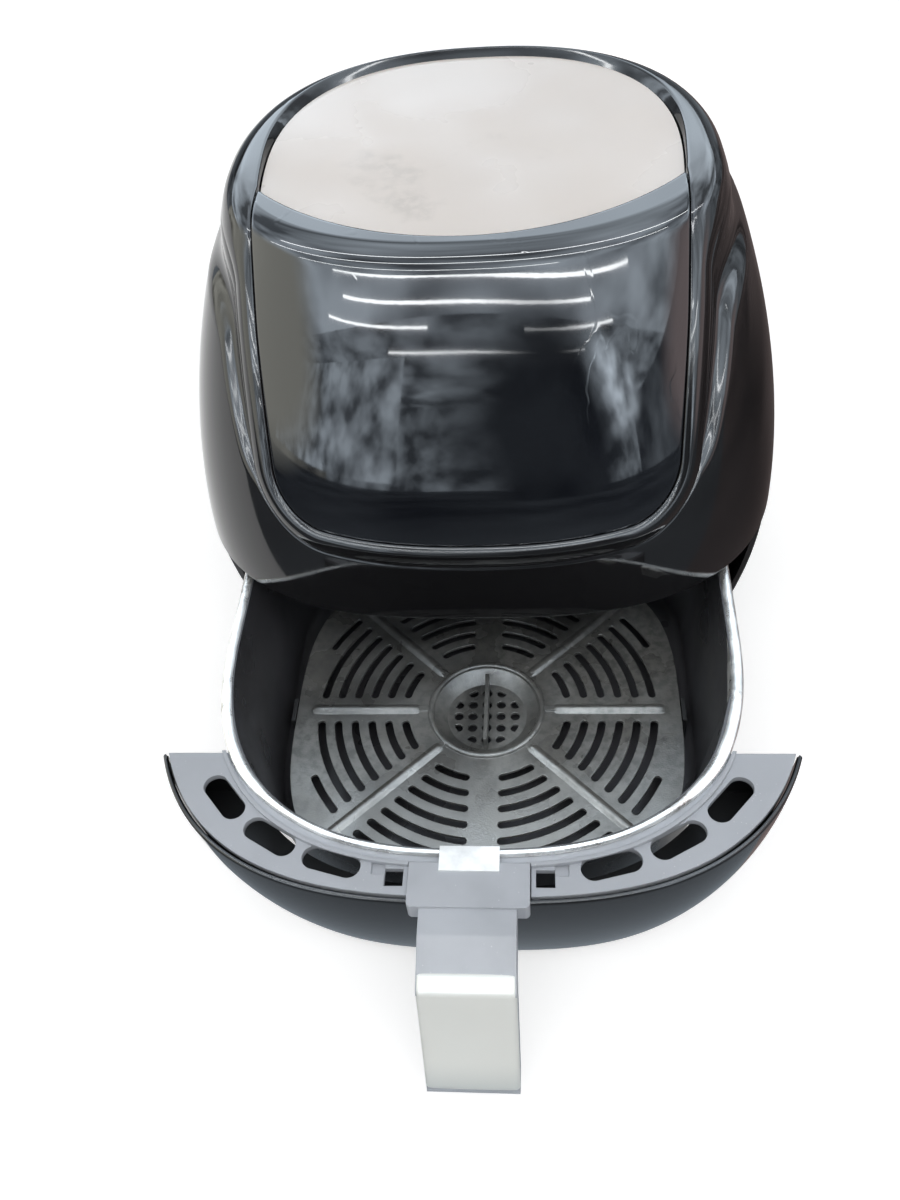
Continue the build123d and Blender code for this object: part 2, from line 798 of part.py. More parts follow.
def make_motor():
    fan_top = reflector_z - fan_top_gap
    fan_low = fan_top - fan_disc - fan_blade_height
    fan = fan_wheel(fan_radius, fan_blades, fan_top - fan_disc, fan_top, fan_low, fan_top - fan_disc, fan_sweep)
    nut_z = fan_low - nut_height
    nut = extrude(Pos(0, 0, nut_z) * RegularPolygon(nut_radius, 6), nut_height)
    nut = nut - rod(0, 0, nut_z - 1, fan_low + 1, shaft_radius + hub_gap)
    cool_low = liner_top_z + cooling_fan_rise
    cool = fan_wheel(cooling_fan_radius, cooling_fan_blades, cool_low, cool_low + fan_disc,
                     cool_low + fan_disc, cool_low + cooling_fan_height, cooling_fan_sweep)

    core_low = bracket_top_z + core_rise
    core_high = motor_top_z - core_drop
    shaft = rod(0, 0, fan_low - shaft_low_end, motor_top_z + shaft_high_end, shaft_radius)
    rotor = shaft + rod(0, 0, core_low, core_high, rotor_radius)

    bracket = rod(0, 0, bracket_z, bracket_top_z, bracket_radius)
    post_r = bracket_radius - bracket_post_radius - 1
    for i in range(4):
        angle = radians(45 + 90 * i)
        bracket = bracket + rod(post_r * cos(angle), post_r * sin(angle), liner_top_z, bracket_top_z,
                                bracket_post_radius)
        vent = radians(90 * i)
        vent_x = vent_place * cos(vent)
        vent_y = vent_place * sin(vent)
        bracket = bracket - rod(vent_x, vent_y, bracket_z - 1, bracket_top_z + 1, vent_radius)
    bracket = bracket - rod(0, 0, bracket_z - 1, bracket_top_z + 1, bush_radius + hub_gap)
    bush_z = bracket_z - bush_stand
    lower_bush = tube(0, 0, bush_z, bush_z + bush_length, bush_radius, shaft_radius + running_gap)

    can = rod(0, 0, bracket_top_z, motor_top_z, motor_radius)
    can = can - rod(0, 0, bracket_top_z - 1, motor_top_z - motor_wall, motor_radius - motor_wall)
    can = can - rod(0, 0, motor_top_z - can_lid, motor_top_z + 1, bush_radius + hub_gap)
    bush_top = motor_top_z + bush_stand
    upper_bush = tube(0, 0, bush_top - bush_length, bush_top, bush_radius, shaft_radius + running_gap)
    stator = tube(0, 0, core_low, core_high, motor_radius - motor_wall - hub_gap, rotor_radius + air_gap)

    add("motor_bracket", bracket)
    add("motor_can", can)
    add("motor_stator", stator)
    add("lower_bush", lower_bush)
    add("upper_bush", upper_bush)
    add("motor_rotor", rotor, "fan")
    add("convection_fan", fan, "fan")
    add("fan_nut", nut, "fan")
    add("cooling_fan", cool, "fan")


# ---- electronics ----
def front_reach_at(level):
    return lower_front_reach - (lower_front_reach - upper_front_reach) * level ** front_power


def make_electronics():
    board_z = liner_top_z + board_rise
    board_top = board_z + board_thickness
    x0 = board_x - board_width / 2
    x1 = board_x + board_width / 2
    board = block(x0, x1, -board_length / 2, board_length / 2, board_z, board_top)
    posts = []
    for x in (x0 + post_inset, x1 - post_inset):
        for y in (-board_length / 2 + post_inset, board_length / 2 - post_inset):
            posts.append(rod(x, y, liner_top_z, board_z, board_post_radius))
    add("power_board", board)
    add("board_posts", solids(posts))
    add("transformer", block(board_x - transformer_half, board_x + transformer_half, *transformer_y,
                             board_top, board_top + transformer_height))
    add("relay", block(board_x + relay_x[0], board_x + relay_x[1], *relay_y,
                       board_top, board_top + relay_height))
    add("capacitor", rod(board_x, capacitor_y, board_top, board_top + capacitor_height, capacitor_radius))

    level = (display_z - shell_bottom_z) / housing_height
    lean = degrees(atan((front_reach_at(level - 0.1) - front_reach_at(level + 0.1)) / (0.2 * housing_height)))
    face_y = -(front_reach_at(level) - display_depth)
    place = Pos(0, face_y, display_z) * Rot(-lean, 0, 0)
    display = place * Box(display_width, board_thickness, display_height)
    back = carrier_depth - display_depth
    bar = place * Pos(0, back, 0) * Box(3 * lower_half_width, carrier_thickness, carrier_height)
    bar = bar & housing_form(bezel_back + seat_gap)
    posts = []
    for x in (-carrier_post_x, carrier_post_x):
        gap = back - board_thickness / 2 - carrier_thickness / 2
        post = Pos(x, board_thickness / 2 + gap / 2, 0) * Rot(90, 0, 0) * Cylinder(carrier_post_radius, gap)
        posts.append(place * post)
    add("display_board", display)
    add("display_carrier", bar + posts[0] + posts[1])


# ---- basket ----
def basket_outline(grow, z):
    """Superellipse in front, straight sides and round corners behind."""
    half = basket_half_width + grow
    reach = basket_reach + grow
    corner = basket_rear_corner + grow
    points = []
    for i in range(13):
        angle = pi + pi * i / 12
        c = cos(angle)
        s = sin(angle)
        x = half * copysign(abs(c) ** (2 / basket_exponent), c)
        y = reach * copysign(abs(s) ** (2 / basket_exponent), s)
        points.append(Vector(x, y, z))
    points[0] = Vector(-half, 0, z)
    points[-1] = Vector(half, 0, z)
    front = Edge.make_spline(points, tangents=[Vector(0, -1, 0), Vector(0, 1, 0)])
    start = reach - corner
    slant = corner * (1 - cos(radians(45)))
    right = Edge.make_line((half, 0, z), (half, start, z))
    turn_right = Edge.make_three_point_arc((half, start, z), (half - slant, reach - slant, z),
                                           (half - corner, reach, z))
    rear = Edge.make_line((half - corner, reach, z), (corner - half, reach, z))
    turn_left = Edge.make_three_point_arc((corner - half, reach, z), (slant - half, reach - slant, z),
                                          (-half, start, z))
    left = Edge.make_line((-half, start, z), (-half, 0, z))
    return Wire([front, right, turn_right, rear, turn_left, left])


def basket_form(grow, low_z, high_z):
    """The basket's tapered form between two heights."""
    slope = basket_taper / basket_depth
    low = basket_outline(grow - slope * (rim_z - low_z), low_z)
    high = basket_outline(grow - slope * (rim_z - high_z), high_z)
    return Solid.make_loft([low, high], ruled=True)


def basket_reach_at(z):
    return basket_reach + basket_wall - basket_taper * (rim_z - z) / basket_depth


def make_basket():
    wall_top = rim_z - clip_thickness
    pan = basket_form(basket_wall, basket_under_z, wall_top)
    pan = pan.fillet(basket_floor_round, pan.faces().sort_by(Axis.Z)[0].edges())
    room = basket_form(0, basket_under_z + basket_floor, rim_z + 1)
    room = room.fillet(basket_floor_round - basket_floor, room.faces().sort_by(Axis.Z)[0].edges())
    add("basket", pan - room, "drawer")

    outer = basket_wall + rim_width
    rim = plate_of(basket_outline(outer, rim_z - rim_height), rim_height)
    rim = rim - plate_of(basket_outline(0, rim_z - clip_thickness), rim_height)
    rim = rim - plate_of(basket_outline(outer - 1.0, rim_z - rim_height - 1), rim_height + 1 - clip_thickness)
    add("basket_rim", rim, "drawer")

    slot_mid = rim_z - rim_height - slide_gap - rail_height / 2
    outer_form = basket_form(basket_wall + fit_gap, basket_under_z, rim_z)
    bars = []
    for side in (-1, 1):
        inner_x = side * (basket_half_width - 6)
        outer_x = side * runner_reach
        bar = block(min(inner_x, outer_x), max(inner_x, outer_x), -runner_front, runner_rear,
                    slot_mid - runner_height / 2, slot_mid + runner_height / 2)
        bars.append(bar - outer_form)
    add("basket_runners", solids(bars), "drawer")


# ---- drawer front ----
def front_half(z0, z1, end_y=drawer_end_y):
    return block(-beyond, beyond, -beyond, -end_y, z0, z1)


def make_drawer_front():
    flange_top = rim_z - flange_drop
    flange_under = flange_top - flange_thickness
    inset = skin_wall + seat_gap
    plan_level = lower_level(flange_under)
    plan = lower_section(plan_level, inset, drawer_front_reach, floor_front_reach)
    grow = basket_wall + joint_gap
    flange = plate_of(plan, flange_thickness) & front_half(0, rim_z)
    flange = flange - plate_of(basket_outline(grow, flange_under - 1), flange_thickness + 2)
    skirt_low = flange_under - skirt_depth
    skirt = lower_form(inset) - lower_form(inset + skirt_wall)
    skirt = skirt & front_half(skirt_low, flange_under)
    end = lower_form(inset) & block(-beyond, beyond, -drawer_end_y - skirt_wall, -drawer_end_y,
                                    skirt_low, flange_under)
    end = end - plate_of(basket_outline(grow, skirt_low - 1), skirt_depth + 2)
    ridge_low = basket_wall + rim_width + joint_gap
    ridge = plate_of(basket_outline(ridge_low + groove_width, flange_top), flange_drop - 1.0)
    ridge = ridge - plate_of(basket_outline(ridge_low, flange_top - 1), flange_drop + 2)
    ridge = ridge & front_half(0, rim_z)
    web = lower_form(inset + skirt_wall / 2) & front_half(skirt_low, skirt_low + web_thickness)
    web = web - plate_of(basket_outline(grow, skirt_low - 1), web_thickness + 2)
    web = web - block(-stem_half_width - joint_gap, stem_half_width + joint_gap, -beyond, -basket_reach / 2,
                      skirt_low - 1, flange_under)
    frame = flange + skirt + end + ridge + web
    for side in (-1, 1):
        for x in slot_places:
            ratio = x / slot_curve_half_width
            rest = 1 - ratio ** slot_curve_exponent
            y = -slot_curve_front * rest ** (1 / slot_curve_exponent)
            rise = slot_curve_front / slot_curve_half_width * ratio ** (slot_curve_exponent - 1)
            rise = rise * rest ** (1 / slot_curve_exponent - 1)
            turn = side * degrees(atan(rise))
            shape = SlotOverall(slot_length, slot_width)
            slot = extrude(Pos(side * x, y, flange_under - 1) * Rot(0, 0, turn) * shape, flange_thickness + 2)
            frame = frame - slot
        pocket = Pos(side * recess_x, -recess_y, flange_top - recess_depth / 2)
        frame = frame - pocket * Box(recess_size, recess_size, recess_depth)
        frame = frame - Pos(side * window_x, -window_y, flange_top) * Box(window_size, window_size, 20)
    plate_back = basket_reach + basket_wall + rim_width + plate_gap
    room_y = -plate_back + joint_gap
    plate_under = rim_z - plate_thickness - joint_gap
    plate_side = plate_half_width + joint_gap
    plate_room = block(-plate_side, plate_side, -beyond, room_y, plate_under, rim_z + 5)
    stem_side = stem_half_width + joint_gap
    stem_room = block(-stem_side, stem_side, -beyond, room_y, plate_under - stem_height, rim_z)
    frame = frame - plate_room - stem_room

    skin = lower_form(0) - lower_form(skin_wall)
    skin = skin & front_half(base_floor_z + skin_floor_gap, flange_top - skin_ledge_drop)
    arm_side = arm_half_width + joint_gap
    arm_room = block(-arm_side, arm_side, -beyond, -basket_reach / 2, rim_z - arm_thickness - 3, rim_z)
    skin = skin - plate_room - arm_room
    add("fascia_frame", frame, "drawer")
    add("fascia_skin", skin, "drawer")


def handle_profile(inset):
    """Side view of the arm and grip, as (y, z) points, with the outline moved in by inset."""
    front = basket_reach + basket_wall + rim_width + plate_gap + plate_depth
    top = rim_z - 1.0 - inset
    bend_y = front + arm_reach - inset
    bend_z = rim_z - arm_fall - inset
    foot_y = bend_y + grip_lean
    foot_z = grip_bottom_z + inset
    inner_bend_y = front + arm_reach - grip_thickness + inset
    inner_bend_z = rim_z - arm_fall - arm_thickness + inset
    return [
        (-front + 4, top),
        (-front - arm_reach * 0.35, top - 0.8),
        (-bend_y, bend_z),
        (-foot_y, foot_z),
        (-foot_y + grip_thickness - 2 * inset, foot_z - 1),
        (-inner_bend_y - 1.0, inner_bend_z),
        (-front + 4, rim_z - 1.0 - arm_thickness + inset),
    ]


def side_block(points, half_width):
    """A side view carried to both sides of the centre plane."""
    face = make_face(Polyline(*[(y, z) for y, z in points], close=True))
    return extrude(Plane.YZ * face, half_width, both=True)


def make_handle():
    plate_back = basket_reach + basket_wall + rim_width + plate_gap
    front = plate_back + plate_depth
    plate = block(-plate_half_width, plate_half_width, -front, -plate_back, rim_z - plate_thickness, rim_z)
    plate = fillet(plate.edges().filter_by(Axis.Z).group_by(Axis.Y)[0], 2.0)
    stem_y = -front + stem_setback
    stem_low = rim_z - plate_thickness - stem_height
    stem = block(-stem_half_width, stem_half_width, stem_y, stem_y + stem_thickness, stem_low,
                 rim_z - plate_thickness)
    grip = side_block(handle_profile(0), arm_half_width)
    outer = grip.edges().filter_by(Axis.X)
    long_edges = [e for e in outer if e.center().Y < -front - 5]
    grip = fillet(long_edges, grip_round)

    lean = degrees(atan(grip_lean / (rim_z - arm_fall - grip_bottom_z)))
    bend = (front + arm_reach, rim_z - arm_fall)
    length = (rim_z - arm_fall - grip_bottom_z) / cos(radians(lean))
    place = Pos(0, -bend[0], bend[1]) * Rot(-lean, 0, 0)
    cover_room = place * block(-arm_half_width - 5, arm_half_width + 5, -30, cover_thickness, -length + 3, -2)
    skin_zone = grip & cover_room
    pad_room = place * block(-arm_half_width - 5, arm_half_width + 5, grip_thickness - pad_thickness,
                             grip_thickness + 20, -length + 8, -arm_thickness - 8)
    pad = grip & pad_room
    block_body = (grip - cover_room - pad_room) + plate + stem
    cover = skin_zone.solids().sort_by(SortBy.VOLUME)[-1]
    add("handle_block", block_body, "drawer")
    add("handle_cover", cover, "drawer")
    add("handle_pad", pad.solids().sort_by(SortBy.VOLUME)[-1], "drawer")

    clip_y = basket_reach + basket_wall + rim_width
    clip = block(-clip_width / 2, clip_width / 2, -clip_y - plate_gap - 4, -basket_reach + 0.5,
                 rim_z, rim_z + clip_thickness)
    add("basket_clip", clip, "drawer")

    low = rim_z - plate_thickness - stem_height
    high = rim_z - plate_thickness - 3
    back_y = front - stem_setback - stem_thickness
    box = block(-stem_half_width, stem_half_width, -back_y, -basket_reach + 10, low, high)
    hollow = block(-stem_half_width + bracket_wall, stem_half_width - bracket_wall, -back_y + bracket_wall,
                   -basket_reach + 12, low - 1, high + 1)
    bracket = box - hollow - basket_form(basket_wall, basket_under_z, rim_z)
    screws = []
    for z in (low + handle_screw_inset, high - handle_screw_inset):
        across = Rot(90, 0, 0)
        shank = across * Cylinder(screw_radius, bracket_wall + handle_screw_reach)
        shank = Pos(0, -back_y - handle_screw_end, z) * shank
        head = across * Cylinder(screw_head_radius, screw_head_height)
        head = Pos(0, -back_y + bracket_wall + screw_head_height / 2, z) * head
        screw = shank + head
        screws.append(screw)
        hole = Pos(0, -back_y, z) * Rot(90, 0, 0) * Cylinder(screw_radius + running_gap, 24)
        bracket = bracket - hole
        parts["handle_block"] = parts["handle_block"] - hole
    add("basket_bracket", bracket, "drawer")
    add("handle_screws", solids(screws), "drawer")


# ---- fry tray ----
def tray_outline(grow, z):
    half = tray_half_width + grow
    return superellipse(half, half, half, tray_exponent, z, count=28)


def polar(radius, angle, z):
    return Vector(radius * cos(radians(angle)), radius * sin(radians(angle)), z)


def arc_slot(radius, start, end, z):
    """Outline of a curved slot between two angles in degrees, with round ends."""
    half = tray_slot_width / 2
    cap = degrees(half / radius)
    middle = (start + end) / 2
    outer = Edge.make_three_point_arc(*(polar(radius + half, a, z) for a in (start, middle, end)))
    inner = Edge.make_three_point_arc(*(polar(radius - half, a, z) for a in (end, middle, start)))
    far = Edge.make_three_point_arc(polar(radius + half, end, z), polar(radius, end + cap, z),
                                    polar(radius - half, end, z))
    near = Edge.make_three_point_arc(polar(radius - half, start, z), polar(radius, start - cap, z),
                                     polar(radius + half, start, z))
    return Wire([outer, far, inner, near])


def round_hole(x, y, z, radius):
    return Wire([Edge.make_circle(radius, Plane(origin=(x, y, z)))])


def perforated(outline, holes, thickness):
    """A flat plate with holes, standing on its outline."""
    return Solid.extrude(Face(outline, holes), Vector(0, 0, thickness))


def make_tray():
    top = basket_under_z + basket_floor + tray_rise
    under = top - tray_thickness
    well_floor = top - tray_well_depth
    ring_bore = tray_ring_radius - tray_ring_thickness / 4
    openings = [round_hole(0, 0, under, ring_bore)]
    sector = 360 / tray_sectors
    for row in range(tray_slot_rows + 1):
        radius = tray_first_slot + row * tray_pitch
        inset = degrees(asin(tray_bar_half_width / radius)) + degrees(tray_slot_width / 2 / radius)
        for i in range(tray_sectors):
            start = i * sector + inset
            end = (i + 1) * sector - inset
            if row == tray_slot_rows:
                start = max(start, end - corner_slot_span) if i % 2 == 0 else start
                end = min(end, start + corner_slot_span)
            openings.append(arc_slot(radius, start, end, under))
    plate = perforated(tray_outline(0, under), openings, tray_thickness)
    skirt_low = under - tray_skirt
    skirt = perforated(tray_outline(0, skirt_low), [tray_outline(-tray_thickness, skirt_low)], tray_skirt)

    ring = Pos(0, 0, top) * Torus(tray_ring_radius, tray_ring_thickness / 2)
    slope = (ring_bore - tray_well_radius) / (tray_well_depth - tray_thickness / 2)
    brim = ring_bore + well_overlap
    brim_z = top - well_sink
    floor_top_z = well_floor + tray_thickness
    foot_in = tray_well_radius - tray_thickness + slope * tray_thickness
    foot_end = tray_well_radius - well_lap
    profile = Polyline((tray_well_radius, well_floor), (brim, brim_z), (brim - tray_thickness, brim_z),
                       (foot_in, floor_top_z), (foot_end, floor_top_z), (foot_end, well_floor), close=True)
    well = revolve(Plane.XZ * make_face(profile), Axis.Z)
    holes = []
    for row in (-2, -1, 0, 1, 2):
        for column in (-2, -1, 0, 1, 2):
            if abs(row) + abs(column) < 4:
                holes.append(round_hole(column * tray_hole_pitch, row * tray_hole_pitch, well_floor, tray_hole))
    floor = perforated(round_hole(0, 0, well_floor, tray_well_radius - 1), holes, tray_thickness)
    tray = plate + [skirt, ring, well, floor]
    for angle in rib_angles:
        end = tray_half_width - rib_end if angle % 90 == 0 else tray_half_width * 1.1
        rib = block(tray_ring_radius, end, -rib_width / 2, rib_width / 2, top - 0.5, top + rib_height)
        tray = tray + Rot(0, 0, angle) * rib
    add("fry_tray", tray, "tray")

    bar = block(-grip_bar_thickness / 2, grip_bar_thickness / 2, -tray_well_radius, tray_well_radius,
                well_floor + tray_thickness, top + grip_bar_rise)
    add("tray_grip", bar, "tray")

    bumpers = []
    floor_top = basket_under_z + basket_floor
    for i in range(4):
        bumper = block(tray_half_width - bumper_overlap, tray_half_width + bumper_depth,
                       -bumper_width / 2, bumper_width / 2, floor_top + seat_gap, top)
        slot = plate_of(tray_outline(curve_slack, skirt_low - fit_gap), tray_skirt + 20)
        bumper = bumper - slot
        bumpers.append(Rot(0, 0, 90 * i) * bumper)
    add("tray_bumpers", solids(bumpers), "tray")


# ---- drawer switch ----
def make_switch():
    basket_y = basket_reach_at(switch_z)
    tip_y = basket_y + plunger_tip_gap
    face_y = tip_y + plunger_travel + switch_face_gap
    half = switch_width / 2
    body = block(switch_x - half, switch_x + half, face_y, beyond, switch_z - switch_height / 2,
                 switch_z + switch_height / 2)
    low = lower_level(base_floor_z)
    body = body & lower_form(base_wall + 0.1, low, 1.0)
    place = Pos(switch_x, 0, switch_z) * Rot(-90, 0, 0)
    bore_depth = plunger_travel + switch_bore_end
    bore = Cylinder(plunger_radius + running_gap, bore_depth + 2)
    bore = place * Pos(0, 0, face_y + bore_depth / 2 - 1) * bore
    body = body - bore
    length = face_y - tip_y + plunger_guide
    plunger = place * Pos(0, 0, tip_y + length / 2) * Cylinder(plunger_radius, length)
    add("switch_body", body)
    add("switch_plunger", plunger, "switch")


make_housing()
make_base()
make_hot_chamber()
make_motor()
make_electronics()
make_basket()
make_drawer_front()
make_handle()
make_tray()
make_switch()

drawer_bodies = ("drawer", "tray")
pulled = Pos(0, -drawer_opening, 0)
placed = {name: (pulled * shape if body_of[name] in drawer_bodies else shape) for name, shape in parts.items()}
low_y = min(shape.bounding_box().min.Y for shape in placed.values())
high_y = max(shape.bounding_box().max.Y for shape in placed.values())
centre_y = (low_y + high_y) / 2
print("fan axis y", round(-centre_y, 3), "length", round(high_y - low_y, 2))
for name, shape in placed.items():
    export_step(Pos(0, -centre_y, 0) * shape, f"parts/{name}.step")
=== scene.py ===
"""Drawer air fryer on a pale studio floor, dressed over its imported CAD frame."""
import json

import bmesh
import bpy
import numpy as np
from mathutils import Matrix, Vector


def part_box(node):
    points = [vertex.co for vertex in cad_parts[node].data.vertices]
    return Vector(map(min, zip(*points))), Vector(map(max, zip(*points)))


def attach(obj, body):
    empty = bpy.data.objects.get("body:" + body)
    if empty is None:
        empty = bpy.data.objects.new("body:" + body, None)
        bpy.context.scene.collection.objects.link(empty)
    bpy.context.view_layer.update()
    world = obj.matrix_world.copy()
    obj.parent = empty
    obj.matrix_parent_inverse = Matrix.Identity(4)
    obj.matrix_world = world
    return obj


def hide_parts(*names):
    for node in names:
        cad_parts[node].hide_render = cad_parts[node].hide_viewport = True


bl_info = {
    "name": "Drawer Air Fryer",
    "version": (1, 0, 0),
    "blender": (4, 5, 0),
    "location": "View3D > Sidebar > Fryer",
    "description": "Smooth mouldings, finishes and a studio for the packed air fryer",
    "category": "Add Mesh",
}

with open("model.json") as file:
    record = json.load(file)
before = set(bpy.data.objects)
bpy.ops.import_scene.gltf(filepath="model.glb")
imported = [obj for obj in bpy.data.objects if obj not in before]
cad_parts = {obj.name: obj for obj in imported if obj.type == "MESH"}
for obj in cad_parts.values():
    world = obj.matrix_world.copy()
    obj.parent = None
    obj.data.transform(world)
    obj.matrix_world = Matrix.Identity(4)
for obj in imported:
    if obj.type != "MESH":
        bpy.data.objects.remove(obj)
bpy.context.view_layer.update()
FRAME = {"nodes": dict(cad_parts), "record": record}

# ---- sizes of the CAD frame, in millimetres ----
MM = 0.001
SHELL_Z = 100.8             # lower edge of the shell
HEIGHT = 159.0              # from there to the crest of the top ring
CREST_Z = SHELL_Z + HEIGHT
CREST_TILT = 0.06
LOWER_HALF, UPPER_HALF = 147.5, 107.0
LOWER_FRONT, UPPER_FRONT = 135.0, 73.0
LOWER_BACK, UPPER_BACK = 137.0, 101.0
LOWER_POWER, UPPER_POWER = 2.8, 2.3
RING_DROP = 12.0            # from the crest to the ring's lower seam

LENS_FOOT_HALF, LENS_HALF = 90.0, 92.5
LENS_RISE = 41.0            # lens foot above the shell's lower edge
LENS_SAG = 5.5
LENS_CORNER = 25.0
LENS_TURN_X, LENS_TURN_H = 65.8, 28.0   # centre of the corner's circle
LENS_SHOULDER = HEIGHT / 2
ARC_RADIUS = 125.0          # between lens and top panel, seen from above
ARC_FRONT = 62.0
PANEL_HALF, PANEL_FRONT, PANEL_BACK, PANEL_POWER = 92.6, 100.0, 93.0, 2.4
PANEL_Z = CREST_Z - 3.5      # on the fan's axis, tilted with the crest
OUTLET_LOW_Z, OUTLET_HIGH_Z, OUTLET_HALF = 115.9, 147.9, 42.0

BASE_TOP_Z, FLOOR_Z = 100.5, 6.0
BODY_HALF, FLOOR_HALF = 146.0, 127.0
DRAWER_FRONT, FLOOR_FRONT = 139.5, 119.0
DRAWER_END = 70.9
SKIN_LOW_Z, SKIN_HIGH_Z = 10.0, 93.7
NOTCH_HALF, NOTCH_LOW_Z = 19.4, 82.3

RIM_Z = 97.3
BASKET_HALF, BASKET_REACH, BASKET_POWER, BASKET_CORNER = 113.5, 117.0, 2.63, 56.0
TRAY_Z = 29.8
GRIP_HALF = 19.0
COVER_PROUD = 0.55          # how far the handle's cover stands out over the bend
COVER_LENGTH = 59.0         # its straight part
BEND_AT = (-172.3, 88.3)    # y and z of the corner where arm and grip would meet
ARM_RUN, GRIP_RUN = (19.5, 7.2), (-17.0, -64.3)     # the ways back and down from there
BEND_ROUND = 4.0


def middle_y(node):
    """Y of a CAD node's centre, in metres."""
    low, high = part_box(node)
    return (low[1] + high[1]) / 2


FAN_Y = middle_y("motor_rotor")
DRAWER_Y = middle_y("fry_tray")


# ---- settings that a user would change ----
class FryerForm(bpy.types.PropertyGroup):
    """Details of the smooth mouldings."""
    crest_round: bpy.props.FloatProperty(
        name="Crest rounding", description="How far the crest's rounding reaches to each side, in mm", default=7.0)
    lens_round: bpy.props.FloatProperty(
        name="Lens top rounding", description="How far the lens bends over its top, in mm", default=7.0)
    bead_height: bpy.props.FloatProperty(
        name="Bead height", description="Rise of the bead round the lens, in mm", default=1.7)
    bead_width: bpy.props.FloatProperty(
        name="Bead width", description="Width of the bead round the lens, in mm", default=9.0)
    flute_width: bpy.props.FloatProperty(
        name="Flute width", description="Width of the hollow beside the bead, in mm", default=27.0)
    flute_depth: bpy.props.FloatProperty(
        name="Flute depth", description="Depth of the hollow beside the bead, in mm", default=3.2)
    funnel_flare: bpy.props.FloatProperty(
        name="Recess flare", description="How far the ring's inner wall leans outwards, in mm", default=3.5)


class FryerColours(bpy.types.PropertyGroup):
    """Colours of the main finishes."""
    moulding: bpy.props.FloatVectorProperty(
        name="Gloss moulding", description="Colour of the gloss mouldings", subtype="COLOR",
        default=(0.010, 0.010, 0.011), min=0, max=1)
    lens: bpy.props.FloatVectorProperty(
        name="Lens", description="Colour of the lens", subtype="COLOR",
        default=(0.006, 0.007, 0.010), min=0, max=1)
    panel: bpy.props.FloatVectorProperty(
        name="Top panel", description="Colour of the top panel", subtype="COLOR",
        default=(0.755, 0.685, 0.625), min=0, max=1)
    plastic: bpy.props.FloatVectorProperty(
        name="Drawer plastic", description="Colour of the drawer's flange and handle", subtype="COLOR",
        default=(0.425, 0.445, 0.48), min=0, max=1)
    silver: bpy.props.FloatVectorProperty(
        name="Handle cover", description="Colour of the handle's cover", subtype="COLOR",
        default=(0.84, 0.85, 0.81), min=0, max=1)
    pan: bpy.props.FloatVectorProperty(
        name="Basket", description="Colour of the basket's coating", subtype="COLOR",
        default=(0.060, 0.060, 0.066), min=0, max=1)
    tray: bpy.props.FloatVectorProperty(
        name="Tray", description="Colour of the tray's coating", subtype="COLOR",
        default=(0.135, 0.139, 0.137), min=0, max=1)
    rim: bpy.props.FloatVectorProperty(
        name="Basket rim", description="Colour of the rolled rim", subtype="COLOR",
        default=(0.78, 0.77, 0.745), min=0, max=1)


class FryerStage(bpy.types.PropertyGroup):
    """Camera and light."""
    lens_mm: bpy.props.FloatProperty(
        name="Focal length", description="Focal length of the camera, in mm", default=33.0)
    lamp_power: bpy.props.FloatProperty(
        name="Lamp power", description="Power of the soft front lamp, in watts", default=34.0)
    sky: bpy.props.FloatProperty(
        name="Room light", description="Strength of the room's even light", default=0.5)


def form():
    return bpy.context.scene.fryer_form


def colours():
    return bpy.context.scene.fryer_colours


# ---- small tools ----
WELD = 2e-6                 # metres between points that are taken as one


def read_all(items, key, width):
    """One property of every vertex or face of a mesh, as an array of rows."""
    values = np.empty(len(items) * width)
    items.foreach_get(key, values)
    return values.reshape(-1, width)


def add_node(tree, kind, inputs=None, **settings):
    """A node with its settings. Each input takes a value, or a link from another node's output."""
    made = tree.nodes.new(kind)
    for key, value in settings.items():
        setattr(made, key, value)
    for key, value in (inputs or {}).items():
        if isinstance(value, bpy.types.NodeSocket):
            tree.links.new(value, made.inputs[key])
        else:
            made.inputs[key].default_value = value
    return made


def node_material(name):
    """A new node material and its tree."""
    material = bpy.data.materials.new(name)
    material.use_nodes = True
    return material, material.node_tree


def smooth_step(value, low, high):
    """0 below low, 1 above high, and a smooth cubic rise between."""
    t = np.clip((value - low) / (high - low), 0.0, 1.0)
    return t * t * (3 - 2 * t)


def fall(share):
    """Drop of a quarter circle as the share goes from 0 to 1: 1 - sqrt(1 - share^2)."""
    return 1 - np.sqrt(1 - share ** 2)


def spread(count, edge_steps):
    """Even steps from 0 to 1 with extra ones close to both ends."""
    inner = np.linspace(0, 1, count)
    extra = np.asarray(edge_steps)
    return np.unique(np.round(np.concatenate([inner, extra, 1 - extra]), 7))


def mirrored(points):
    """A right half, first column on the centre plane, becomes both halves from left to right."""
    left = points[:, :0:-1] * np.array([-1.0, 1.0, 1.0])
    return np.concatenate([left, points], axis=1)


def joined_loop(points):
    """A right half of a closed band, columns from front centre to back centre, becomes the whole band."""
    left = points[:, -2:0:-1] * np.array([-1.0, 1.0, 1.0])
    return np.concatenate([points, left], axis=1)


def grid_faces(rows, columns, wrap_columns=False):
    """Four-sided faces between the neighbours of a grid, as (rows, columns, 4) indices."""
    index = np.arange(rows * columns).reshape(rows, columns)
    if wrap_columns:
        index = np.concatenate([index, index[:, :1]], axis=1)
    return np.stack([index[:-1, :-1], index[:-1, 1:], index[1:, 1:], index[1:, :-1]], axis=-1)


